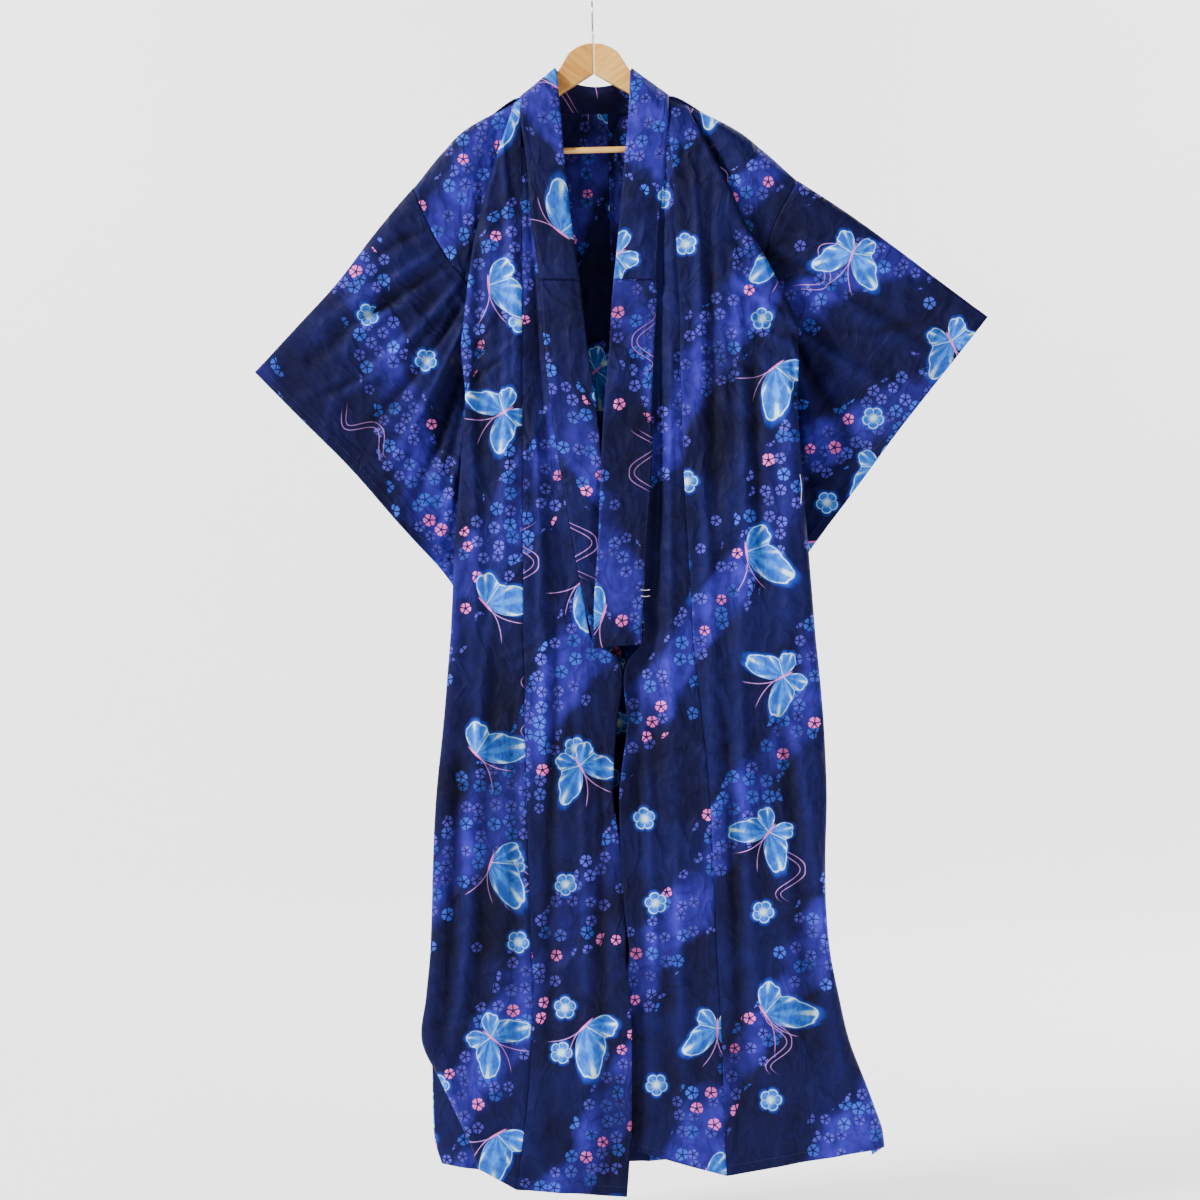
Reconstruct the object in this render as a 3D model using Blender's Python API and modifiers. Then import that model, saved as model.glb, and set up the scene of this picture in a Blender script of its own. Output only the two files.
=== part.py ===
"""A long cotton robe in the kimono cut, hung open on a contoured wooden hanger.

Metres, +Z up, the front faces -Y, and the wearer's right is at -X. The origin is the inside of
the hook's top, where a rail carries it. The tables below are in centimetres: x, the drop below
the origin, and the depth y, which is negative towards the front.
"""

import math

import bmesh
import bpy
import numpy as np
from mathutils import Matrix, Vector

CM = 0.01

# Cloth and seams
WALL = 0.0015
SEAM_GAP = 0.0007
EDGE_GAP = 0.0011
PANEL_LIFT = 0.0019

# Hanger
ARM_THICK = 0.012
ARM_BACK = 0.006
ARM_SWEEP = 0.09
ARM_REACH = 0.212
HANGER_TILT = math.radians(1.4)
BAR_RADIUS = 0.0045
BAR_REACH = 0.184
BAR_DROP = 0.217
HOOK_WIRE = 0.0016
HOOK_INNER = 0.017
DOME_TOP = 0.058

# The wire's way up from the dome, by depth and drop, the angles of its ring, and its tip
HOOK_STEM = ((0.6, 5.1), (0.58, 4.6), (0.75, 4.05))
HOOK_START = -40
HOOK_STOP = 220
HOOK_STEP = 20
HOOK_TIP = (-1.35, 3.35)
FIT_GAP = 0.0003
EDGE_ROUND = 0.002
EDGE_SHARP = math.radians(50)

# Drops of the arm's upper and lower edges by the distance from the centre, and where the
# outline has its corners
ARM_UPPER = (
    (0.0, 5.8),
    (1.2, 5.95),
    (2.4, 6.4),
    (3.6, 7.2),
    (4.6, 8.8),
    (5.5, 10.6),
    (11.0, 14.95),
    (16.4, 18.05),
    (20.0, 20.25),
    (21.2, 21.5),
)
ARM_LOWER = (
    (0.0, 10.3),
    (4.8, 13.2),
    (11.0, 17.9),
    (16.0, 21.3),
    (18.6, 22.8),
    (20.0, 23.0),
    (21.2, 22.4),
)
ARM_CORNERS = (1.2, 2.4, 3.6, 4.8, 5.8, 8.5, 11.0, 13.5, 16.0, 18.0, 20.0)

# Cloth over the arm: half the depth of the saddle, near the arm and past its end. It fades over
# SADDLE_FADE past the arm.
SADDLE_DEPTH = 0.0095
SADDLE_END = 0.005
SADDLE_FADE = 0.04
SADDLE_EDGE = 0.00065
NECK_SHARE = 0.12
SADDLE_DROP = 0.006

# Folds of a front panel
FOLD_RADIUS = 0.0025
FOLD_LEG = 0.0035
FOLD_TURN = 1.6
FOLD_DEEP = 0.01
PANEL_SHARES = (0.4, 0.75)
PANEL_LEG_LIMIT = 0.15
TUCK_LEG_LIMIT = 0.3
SKIRT_TUCK_SHARE = 0.7
SKIRT_MID_SHARE = 0.6

# Front overlap and collar: shares of the way across, and how far the cloth bows
OVERLAP_SHARES = ((0.0, 0.0), (0.3, 0.0), (0.55, 0.4), (0.78, 1.0), (0.93, 0.4), (1.0, 0.0))
BAND_SHARES = (0.33, 0.67)
COLLAR_CROWN = 0.0015

# Each span between two sections is cut in this many parts
ROW_CUTS = 1
COLUMN_CUTS = 1

SHOULDER_COLUMNS = """seam_x seam_z crest_x crest_z tuck_x tuck_z mid_x mid_z out_x out_z
                      lay_y under_y mid_y out_y back_y"""

# Wearer's right shoulder: the panel runs from the front-overlap seam out to a long diagonal
# fold (crest), back in behind it (tuck) and out again to the armhole (out).
RIGHT_SHOULDER = (
    (-10.4, 13.9, -11.1, 14.5, -11.8, 14.9, -19.6, 19.7, -26.0, 27.4, 0.0, 0.0, 0.0, 0.0, 0.0),
    (-10.4, 17.8, -12.3, 18.1, -12.0, 18.2, -18.7, 22.9, -25.0, 30.1, -2.6, -1.8, -2.8, -2.4, -0.9),
    (-10.3, 21.5, -13.4, 21.5, -12.0, 21.5, -17.7, 25.5, -23.9, 32.6, -3.0, -2.0, -2.3, -2.0, -0.1),
    (-10.2, 26.6, -15.0, 26.7, -12.8, 26.4, -16.6, 29.2, -22.5, 35.3, -3.1, -2.1, -1.8, -1.3, 0.8),
    (-10.2, 31.7, -16.4, 31.8, -13.6, 31.4, -15.9, 32.9, -20.7, 38.0, -3.1, -2.1, -1.6, -0.6, 1.4),
    (-10.2, 36.5, -17.4, 36.6, -14.0, 36.4, -15.8, 37.2, -18.8, 40.3, -3.2, -2.1, -1.4, 0.1, 1.8),
    (-10.2, 41.2, -18.0, 41.2, -14.2, 41.3, -16.1, 42.0, -17.4, 43.7, -3.2, -2.0, -1.1, 0.7, 2.0),
    (-10.2, 45.6, -18.5, 45.6, -14.4, 45.8, -16.3, 46.4, -17.5, 47.3, -3.2, -1.9, -0.8, 1.1, 2.1),
)

LEFT_SHOULDER = (
    (11.1, 13.7, 13.4, 14.9, 14.2, 15.2, 22.3, 19.7, 29.9, 26.4, 0.0, 0.0, 0.0, 0.0, 0.0),
    (11.1, 17.8, 15.2, 18.2, 14.9, 18.5, 22.3, 23.5, 28.8, 28.5, -2.8, -2.0, -2.9, -2.7, -1.1),
    (11.4, 21.5, 17.1, 21.6, 15.8, 21.6, 22.3, 26.0, 27.7, 30.4, -3.1, -2.1, -2.4, -2.3, -0.3),
    (11.8, 26.7, 19.7, 26.7, 17.5, 26.6, 21.9, 29.2, 26.6, 32.7, -3.2, -2.1, -1.9, -1.6, 0.6),
    (12.1, 32.3, 22.3, 32.4, 19.7, 32.0, 22.0, 33.0, 25.7, 35.5, -3.1, -2.1, -1.6, -0.8, 1.3),
    (12.4, 37.8, 25.4, 37.8, 22.2, 37.5, 23.4, 38.1, 25.3, 39.3, -3.2, -2.1, -1.4, 0.0, 1.8),
    (12.7, 43.4, 28.2, 43.4, 24.6, 43.4, 25.7, 43.8, 27.2, 44.7, -3.2, -2.0, -1.1, 0.7, 2.0),
    (12.8, 47.0, 29.9, 47.0, 25.8, 47.4, 27.4, 47.9, 28.7, 48.5, -3.2, -1.9, -0.8, 1.1, 2.1),
)

SKIRT_COLUMNS = "seam_x seam_z crest_x crest_z tuck_x out_x out_z"

# Below the armhole: the crest is the panel's visible side edge, and the side seam (out) lies
# behind it, but for the last hand's breadth on the right, where the back shows past the front.
RIGHT_SKIRT = (
    (-10.2, 50.7, -19.0, 50.7, -14.6, -16.6, 51.0),
    (-10.2, 57.2, -18.4, 57.2, -14.4, -16.8, 57.4),
    (-10.1, 67.3, -19.0, 67.3, -14.6, -18.0, 67.3),
    (-10.1, 78.4, -19.9, 78.4, -15.2, -18.9, 78.4),
    (-10.0, 88.0, -20.3, 88.0, -15.6, -19.4, 88.0),
    (-10.0, 93.4, -20.6, 93.4, -15.8, -19.7, 93.4),
    (-9.9, 96.0, -20.8, 96.0, -15.9, -19.8, 96.0),
    (-9.8, 105.8, -21.6, 105.8, -16.2, -20.6, 105.8),
    (-9.5, 115.4, -22.6, 115.4, -17.0, -21.6, 115.4),
    (-9.3, 125.4, -23.1, 125.4, -17.5, -22.2, 125.4),
    (-9.0, 134.0, -23.3, 134.0, -17.6, -22.5, 134.0),
    (-8.8, 138.6, -23.5, 138.6, -17.7, -22.7, 138.6),
    (-8.5, 145.1, -24.1, 145.1, -17.8, -23.2, 145.1),
    (-8.8, 151.4, -24.7, 151.4, -17.6, -23.6, 151.4),
    (-9.1, 157.0, -21.9, 157.4, -16.6, -23.4, 157.0),
    (-9.6, 162.4, -19.6, 162.4, -15.2, -23.3, 162.4),
    (-10.3, 168.0, -17.4, 167.2, -13.8, -22.9, 167.2),
    (-10.9, 173.1, -16.6, 170.0, -13.4, -22.0, 170.0),
)

LEFT_SKIRT = (
    (12.8, 50.7, 30.0, 50.7, 26.2, 28.0, 51.8),
    (13.0, 57.2, 29.9, 57.2, 26.6, 28.4, 57.4),
    (13.3, 67.3, 30.4, 67.3, 27.4, 29.4, 67.3),
    (13.9, 78.4, 31.3, 78.4, 28.4, 30.3, 78.4),
    (14.5, 88.0, 32.1, 88.0, 29.6, 31.2, 88.0),
    (14.8, 93.8, 32.6, 93.8, 30.1, 31.7, 93.8),
    (15.1, 96.4, 32.9, 96.4, 30.4, 32.0, 96.4),
    (16.2, 105.8, 33.7, 105.8, 31.2, 32.8, 105.8),
    (17.1, 115.4, 34.1, 115.4, 31.8, 33.3, 115.4),
    (17.6, 125.4, 33.9, 125.4, 31.8, 33.1, 125.4),
    (18.0, 134.0, 34.1, 134.0, 32.0, 33.3, 134.0),
    (18.2, 138.6, 34.6, 138.6, 32.6, 33.8, 138.6),
    (18.6, 145.1, 35.9, 145.1, 33.9, 35.1, 145.1),
    (18.9, 151.4, 37.4, 151.4, 35.4, 36.6, 151.4),
    (19.1, 158.1, 39.7, 157.4, 37.7, 38.9, 157.4),
    (19.3, 163.1, 41.2, 161.4, 39.3, 40.4, 161.4),
    (19.4, 167.4, 42.2, 164.4, 40.4, 41.4, 164.4),
    (19.6, 171.1, 42.5, 166.9, 40.8, 41.7, 166.9),
)

SKIRT_LAY = -3.2
SKIRT_UNDER = -1.9
SKIRT_MID = -0.7
SIDE_SEAM_Y = 0.8

# The front overlaps' inner edges: the collar's seam down to its end, then the free edge.
# dip is how far the cloth falls back beside that edge.
OVERLAP_COLUMNS = "drop edge_x edge_z edge_y dip"

RIGHT_OVERLAP = (
    (21.5, -9.8, 21.5, -2.5, 0.0),
    (26.6, -9.3, 26.6, -2.7, 0.0),
    (31.7, -8.9, 31.7, -2.8, 0.1),
    (36.5, -8.2, 36.5, -2.8, 0.2),
    (41.2, -7.6, 41.2, -2.8, 0.4),
    (45.6, -7.3, 45.6, -2.8, 0.5),
    (50.7, -6.9, 50.7, -2.8, 0.6),
    (57.2, -6.2, 57.2, -2.7, 0.6),
    (67.3, -4.8, 67.3, -2.4, 0.5),
    (78.4, -2.9, 78.4, -2.2, 0.4),
    (88.0, -1.1, 88.0, -2.2, 0.3),
    (93.4, 0.2, 93.4, -2.2, 0.2),
    (96.0, 3.8, 96.0, -2.3, 0.2),
    (105.8, 3.6, 105.8, -2.5, 0.1),
    (115.4, 3.1, 115.4, -2.7, 0.0),
    (125.4, 4.5, 125.4, -2.6, 0.0),
    (134.0, 5.0, 134.0, -2.6, 0.0),
    (138.6, 4.9, 138.6, -3.0, 0.0),
    (145.1, 5.6, 145.2, -3.6, 0.0),
    (151.4, 5.8, 151.6, -3.6, 0.0),
    (157.0, 5.8, 157.4, -3.6, 0.0),
    (162.4, 5.8, 163.0, -3.6, 0.0),
    (168.0, 5.5, 168.6, -3.5, 0.0),
    (173.1, 5.1, 174.1, -3.4, 0.0),
)

LEFT_OVERLAP = (
    (21.5, 10.8, 21.5, -2.5, 0.0),
    (26.7, 10.4, 26.7, -2.7, 0.1),
    (32.3, 9.9, 32.3, -2.8, 0.3),
    (37.8, 9.6, 37.8, -2.9, 0.5),
    (43.4, 9.4, 43.4, -3.0, 0.7),
    (47.0, 9.2, 47.0, -3.1, 0.8),
    (50.7, 9.0, 50.7, -3.2, 0.9),
    (57.2, 8.7, 57.2, -3.3, 1.1),
    (67.3, 8.7, 67.3, -3.5, 1.2),
    (78.4, 8.1, 78.4, -3.6, 1.2),
    (88.0, 7.4, 88.0, -3.6, 1.2),
    (93.8, 7.2, 93.8, -3.6, 1.1),
    (96.4, 5.3, 96.2, -3.5, 1.0),
    (105.8, 5.1, 105.8, -3.4, 0.8),
    (115.4, 4.0, 115.4, -3.3, 0.5),
    (125.4, 4.3, 125.4, -3.3, 0.2),
    (134.0, 4.9, 134.0, -3.3, 0.0),
    (138.6, 5.4, 138.6, -2.9, 0.0),
    (145.1, 4.1, 145.0, -2.5, 0.0),
    (151.4, 3.8, 151.0, -2.4, 0.0),
    (158.1, 3.6, 156.8, -2.4, 0.0),
    (163.1, 3.6, 161.2, -2.4, 0.0),
    (167.4, 4.2, 164.6, -2.4, 0.0),
    (171.1, 6.3, 167.6, -2.4, 0.0),
)

# The collar's inner edge on each front, by the drop of its seam.
COLLAR_COLUMNS = "drop edge_x edge_z edge_y"

RIGHT_COLLAR = (
    (13.9, -5.3, 9.6, 0.0),
    (14.5, -5.2, 10.3, -1.0),
    (17.8, -4.5, 17.4, -2.1),
    (21.5, -4.2, 21.4, -2.5),
    (31.7, -3.1, 31.7, -2.9),
    (41.2, -1.7, 41.2, -3.1),
    (50.7, -0.6, 50.7, -3.1),
    (57.2, 0.4, 57.2, -3.0),
    (67.3, 1.6, 67.3, -2.7),
    (78.4, 3.4, 78.4, -2.3),
    (88.0, 5.2, 88.0, -2.2),
    (93.4, 6.6, 93.4, -2.2),
)

LEFT_COLLAR = (
    (13.7, 5.7, 9.7, 0.0),
    (14.3, 5.6, 10.4, -1.0),
    (17.8, 5.3, 17.5, -2.1),
    (21.5, 4.9, 21.4, -2.5),
    (32.3, 4.0, 32.3, -3.0),
    (43.4, 2.9, 43.4, -3.4),
    (50.7, 2.5, 50.7, -3.6),
    (57.2, 1.9, 57.2, -3.7),
    (67.3, 1.3, 67.3, -3.8),
    (78.4, 0.9, 78.4, -3.9),
    (88.0, 0.3, 88.0, -3.9),
    (93.8, 0.3, 94.4, -3.9),
)

# Round the back of the neck, from the wearer's right shoulder to the left one.
NECK_COLUMNS = "seam_x seam_z seam_y edge_x edge_z edge_y"

NECK = (
    (-9.4, 14.3, 1.7, -4.9, 9.9, 1.9),
    (-7.0, 14.9, 3.0, -3.8, 10.6, 3.3),
    (-3.2, 15.4, 3.8, -1.8, 11.2, 4.2),
    (2.3, 15.6, 4.1, 1.2, 11.4, 4.6),
    (7.2, 15.1, 3.6, 3.8, 10.9, 4.0),
    (9.6, 14.4, 2.2, 5.1, 10.1, 2.4),
)
NECK_CENTRE = 3

OVER_COLLAR_DROP = 0.408

# Centre-back seam and back panels
CENTRE_COLUMNS = "drop x y"
CENTRE = (
    (15.6, 2.3, 4.1),
    (20.0, 2.4, 3.3),
    (30.0, 2.6, 2.5),
    (50.0, 3.0, 2.3),
    (100.0, 5.0, 2.2),
    (140.0, 7.0, 2.1),
    (170.5, 8.5, 2.1),
)
BACK_HEM = 170.0
BACK_FOLD_DEPTH = 0.45
BACK_SLACK = 1.0
BACK_SLACK_Y = 2.1
SLACK_ROWS = 3
BACK_SHARES = (0.0, 0.2, 0.4, 0.6, 0.73, 0.86, 1.0)
BACK_FALL = 2.2
WAVE_TURN = 1.5
WAVE_LEAN = 2.0
WAVE_START = 0.2
WAVE_GROW = 0.3
WAVE_FADE = 0.35

# Sleeves: the free inner edge goes on below the armhole and behind the back panel.
EDGE_COLUMNS = "x z front_y back_y"

RIGHT_FREE_EDGE = (
    (-17.8, 50.4, 2.4, 4.0),
    (-17.2, 53.6, 3.4, 5.0),
    (-16.6, 59.4, 3.6, 5.2),
    (-14.9, 65.3, 3.6, 5.3),
    (-8.3, 73.3, 3.7, 5.4),
)
LEFT_FREE_EDGE = (
    (29.0, 51.4, 2.4, 4.0),
    (28.4, 54.6, 3.4, 5.0),
    (27.9, 60.0, 3.6, 5.2),
    (25.3, 64.9, 3.6, 5.3),
    (15.8, 69.6, 3.7, 5.4),
)
LINE_COLUMNS = "x z y"

RIGHT_RIDGE = (
    (-26.0, 27.4, 0.0),
    (-29.5, 31.3, -1.6),
    (-36.5, 40.4, -1.2),
    (-44.5, 49.1, -0.9),
    (-49.2, 54.2, -0.8),
)
RIGHT_CUFF = (
    (-49.2, 54.2, -0.8),
    (-42.5, 61.0, -0.4),
    (-35.9, 67.6, 0.3),
    (-27.6, 77.1, 1.6),
    (-22.2, 83.0, 2.9),
    (-16.8, 91.0, 3.7),
)
LEFT_RIDGE = (
    (29.9, 26.4, 0.0),
    (35.5, 29.9, -1.7),
    (43.5, 35.5, -1.3),
    (50.5, 40.7, -1.0),
    (57.8, 46.1, -0.8),
)
LEFT_CUFF = (
    (57.8, 46.1, -0.8),
    (51.4, 54.3, -0.3),
    (45.0, 62.5, 0.4),
    (38.3, 71.7, 1.6),
    (32.9, 79.0, 2.9),
    (28.5, 85.3, 3.7),
)
SLEEVE_COLUMNS = (0.0, 0.06, 0.25, 0.5, 0.75, 1.0)
SLEEVE_SWELL = 1.3
CUFF_OPEN = 0.47
SEWN_DEPTH = 0.36
RIDGE_DEPTH = 0.26
SLEEVE_BEHIND = 2.4
FOLD_PAST = 0.09
NEAR_SHARE = 0.25
LINE_CUTS = 8

CLOTH = (0.012, 0.012, 0.055, 1.0)
COLLAR_CLOTH = (0.015, 0.015, 0.065, 1.0)
WOOD = (0.62, 0.36, 0.12, 1.0)
WIRE = (0.55, 0.56, 0.58, 1.0)


def table(columns, rows):
    """Rows of centimetres as dictionaries of metres, by the columns' names."""
    names = columns.split()
    return [{name: value * CM for name, value in zip(names, row)} for row in rows]


def arm_y(x):
    """Depth of the hanger's arms, which sweep forward to their ends."""
    return ARM_BACK - ARM_SWEEP * abs(x)


def saddle(x):
    """Half the depth of the cloth over the arm."""
    past = min(max((abs(x) - ARM_REACH) / SADDLE_FADE, 0.0), 1.0)
    return SADDLE_DEPTH + (SADDLE_END - SADDLE_DEPTH) * past


def smooth(points, stations):
    """A smooth curve through points, along the first axis, at stations from 0 to len - 1."""
    points = np.asarray(points, float)
    spans = np.diff(points, axis=0)
    lengths = np.linalg.norm(spans, axis=-1, keepdims=True)
    lengths = np.maximum(lengths, 1e-6)
    slopes = spans / lengths
    tangents = np.empty_like(points)
    weight = lengths[:-1] + lengths[1:]
    tangents[1:-1] = (slopes[:-1] * lengths[1:] + slopes[1:] * lengths[:-1]) / weight
    tangents[0] = slopes[0]
    tangents[-1] = slopes[-1]
    stations = np.asarray(stations, float)
    index = np.clip(stations.astype(int), 0, len(points) - 2)
    part = (stations - index).reshape((-1,) + (1,) * (points.ndim - 1))
    start, end, span = points[index], points[index + 1], lengths[index]
    square, cube = part**2, part**3
    return (
        (2 * cube - 3 * square + 1) * start
        + (cube - 2 * square + part) * span * tangents[index]
        + (3 * square - 2 * cube) * end
        + (cube - square) * span * tangents[index + 1]
    )


def stations(count, cuts):
    """Stations at every point of count, with each span cut in that many parts."""
    return np.linspace(0.0, count - 1, (count - 1) * cuts + 1)


def patch(grid, row_cuts=ROW_CUTS, column_cuts=COLUMN_CUTS):
    """A smooth surface through a grid of points: rows by columns by xyz."""
    grid = np.asarray(grid, float)
    rows = smooth(grid, stations(len(grid), row_cuts))
    turned = np.swapaxes(rows, 0, 1)
    surface = smooth(turned, stations(grid.shape[1], column_cuts))
    return np.swapaxes(surface, 0, 1)


def read(rows, column, drop):
    """The value of a column at a drop, along straight lines between the rows."""
    drops = [row["drop"] for row in rows]
    return float(np.interp(drop, drops, [row[column] for row in rows]))


def mix(a, b, share):
    return a + (b - a) * share


def material(name, colour, roughness, metallic=0.0):
    found = bpy.data.materials.get(name)
    if found:
        return found
    made = bpy.data.materials.new(name)
    made.use_nodes = True
    shader = made.node_tree.nodes["Principled BSDF"]
    shader.inputs["Base Color"].default_value = colour
    shader.inputs["Roughness"].default_value = roughness
    shader.inputs["Metallic"].default_value = metallic
    made.diffuse_color = colour
    return made


def add_object(name, mesh, finish, collection):
    thing = bpy.data.objects.new(name, mesh)
    collection.objects.link(thing)
    mesh.materials.append(finish)
    return thing


def cloth_object(name, points, finish, collection, closed=False):
    """A wall of cloth about a grid of points; closed joins the last column to the first."""
    rows, columns = points.shape[:2]
    mesh = bpy.data.meshes.new(name)
    cloth = bmesh.new()
    verts = [[cloth.verts.new(point) for point in row] for row in points]
    spans = columns if closed else columns - 1
    for i in range(rows - 1):
        for j in range(spans):
            k = (j + 1) % columns
            cloth.faces.new((verts[i][j], verts[i + 1][j], verts[i + 1][k], verts[i][k]))
    bmesh.ops.recalc_face_normals(cloth, faces=cloth.faces)
    cloth.to_mesh(mesh)
    cloth.free()
    mesh.shade_smooth()
    thing = add_object(name, mesh, finish, collection)
    wall = thing.modifiers.new("wall", "SOLIDIFY")
    wall.thickness = WALL
    wall.offset = 0.0
    wall.use_even_offset = False
    wall.use_quality_normals = True
    return thing


def xyz(x, drop, y):
    return np.array((x, y, -drop))


def front_section(row, ridge=False):
    """One section of a front panel, from the overlap's seam out to the armhole or side."""
    seam = xyz(row["seam_x"], row["seam_z"], row["lay_y"])
    crest = xyz(row["crest_x"], row["crest_z"], row["lay_y"])
    tuck = xyz(row["tuck_x"], row["tuck_z"], row["under_y"])
    mid = xyz(row["mid_x"], row["mid_z"], row["mid_y"])
    out = xyz(row["out_x"], row["out_z"], row["out_y"])
    depth = abs(row["crest_x"]) - abs(row["tuck_x"])
    radius = FOLD_RADIUS * min(max(depth / FOLD_DEEP, 0.0), 1.0)
    back = np.array((0.0, radius, 0.0))
    panel = np.linalg.norm(crest - seam)
    leg = np.linalg.norm(tuck - crest)
    outer = np.linalg.norm(mid - tuck)
    points = [
        seam,
        mix(seam, crest, PANEL_SHARES[0]),
        mix(seam, crest, PANEL_SHARES[1]),
        mix(crest, seam, min(PANEL_LEG_LIMIT, FOLD_LEG / panel)),
        crest + back,
        mix(crest, tuck, min(TUCK_LEG_LIMIT, FOLD_LEG / leg)) + FOLD_TURN * back,
        mix(tuck, crest, min(TUCK_LEG_LIMIT, FOLD_LEG / leg)) - back,
        tuck,
        mix(tuck, mid, min(PANEL_LEG_LIMIT, FOLD_LEG / outer)) + back,
        mid,
        mix(mid, out, 0.5),
        out,
    ]
    if ridge:
        for point in points:
            point[1] = arm_y(point[0])
    return np.array(points)


def over_arm(sections, side):
    """Sections with the first one set on the arm, and one more on the saddle's shoulder."""
    first, second = sections[0].copy(), sections[1]
    shoulder = first.copy()
    for point, below in zip(shoulder, second):
        away = below - point
        away[1] = 0.0
        point += away / np.linalg.norm(away) * SADDLE_DROP
        point[1] = arm_y(point[0]) + side * saddle(point[0])
    first[:, 1] += side * SADDLE_EDGE
    return [first, shoulder] + sections[1:]


def front_sections(shoulder, skirt):
    """All sections of a front panel, from the shoulder's ridge to the hem."""
    sections = []
    for index, row in enumerate(table(SHOULDER_COLUMNS, shoulder)):
        sections.append(front_section(row, ridge=index == 0))
    for row in table(SKIRT_COLUMNS, skirt):
        row["tuck_z"] = mix(row["seam_z"], row["out_z"], SKIRT_TUCK_SHARE)
        row["mid_x"] = mix(row["tuck_x"], row["out_x"], SKIRT_MID_SHARE)
        row["mid_z"] = mix(row["tuck_z"], row["out_z"], SKIRT_MID_SHARE)
        row["lay_y"] = SKIRT_LAY * CM
        row["under_y"] = SKIRT_UNDER * CM
        row["mid_y"] = SKIRT_MID * CM
        row["out_y"] = SIDE_SEAM_Y * CM - EDGE_GAP
        sections.append(front_section(row))
    return np.array(over_arm(sections, -1))


def overlap_sections(front, rows, first):
    """A front overlap, from its seam with the front panel to its inner edge."""
    rows = table(OVERLAP_COLUMNS, rows)
    sections = []
    for seam in front[first:, 0]:
        drop = -seam[2]
        edge = xyz(read(rows, "edge_x", drop), read(rows, "edge_z", drop), read(rows, "edge_y", drop))
        toward = math.copysign(SEAM_GAP, edge[0] - seam[0])
        start = seam + np.array((toward, 0.0, 0.0))
        dip = np.array((0.0, read(rows, "dip", drop), 0.0))
        sections.append([mix(start, edge, share) + bow * dip for share, bow in OVERLAP_SHARES])
    return np.array(sections)


def collar_side(front, overlap, rows, first, side):
    """Sections of the collar along one front, from its lower end up to the shoulder."""
    rows = table(COLLAR_COLUMNS, rows)
    seams = [point for point in front[:first, 0]]
    end = rows[-1]["drop"] + 0.005
    seams += [point for point in overlap[:, -1] if -point[2] < end]
    sections = []
    for seam in reversed(seams):
        drop = -seam[2]
        edge = xyz(read(rows, "edge_x", drop), read(rows, "edge_z", drop), read(rows, "edge_y", drop))
        if drop < rows[0]["drop"] + 0.001:
            edge[1] = arm_y(edge[0])
            seam = np.array((seam[0], arm_y(seam[0]), seam[2]))
        start = seam - np.array((side * EDGE_GAP, 0.0, 0.0))
        crown = np.array((0.0, -COLLAR_CROWN, 0.0))
        between = [mix(start, edge, share) + crown for share in BAND_SHARES]
        sections.append([start, *between, edge])
    return sections


def collar_sections(right, left):
    """The whole collar: up the right front, round the neck and down the left front."""
    neck = []
    for row in table(NECK_COLUMNS, NECK):
        seam = xyz(row["seam_x"], row["seam_z"] - SEAM_GAP, row["seam_y"])
        edge = xyz(row["edge_x"], row["edge_z"], row["edge_y"])
        neck.append([seam, *[mix(seam, edge, share) for share in BAND_SHARES], edge])
    return np.array(right + neck + left[::-1])


def normals(points):
    """Unit normals of a grid of points."""
    down = np.gradient(points, axis=0)
    across = np.gradient(points, axis=1)
    normal = np.cross(down, across)
    return normal / np.linalg.norm(normal, axis=-1, keepdims=True)


def over_collar_points(collar):
    """The outer layer of the collar: its points moved out, ending level on each front."""
    drops = -collar[:, 0, 2]
    kept = np.nonzero(drops < OVER_COLLAR_DROP)[0]
    first, last = kept[0] - 1, kept[-1] + 1
    part = collar[first : last + 1].copy()
    for row, inner in ((part[0], part[1].copy()), (part[-1], part[-2].copy())):
        share = (-row[0, 2] - OVER_COLLAR_DROP) / (inner[0, 2] - row[0, 2])
        row += (inner - row) * share
    facing = normals(part)
    if facing[0, 1, 1] > 0:
        facing = -facing
    lifted = part + facing * PANEL_LIFT
    across = lifted[:, -1] - lifted[:, 0]
    across /= np.linalg.norm(across, axis=-1, keepdims=True)
    lifted[:, 0] += across * SEAM_GAP
    return lifted


def side_line(sections, shoulder, side):
    """The back panel's outer edge: the armhole, a slack stretch, then the side seam."""
    rows = table(SHOULDER_COLUMNS, shoulder)
    line = []
    for index, section in enumerate(sections):
        point = section[-1].copy()
        if index > 1:
            point[1] = 2 * SIDE_SEAM_Y * CM - point[1]
        if index <= len(rows):
            row = rows[max(index - 1, 0)]
            point[1] = row["back_y"]
        if len(rows) - 1 <= index < len(rows) + SLACK_ROWS:
            point[0] -= side * BACK_SLACK * CM
            point[1] = BACK_SLACK_Y * CM
        line.append(point)
    return line


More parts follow.
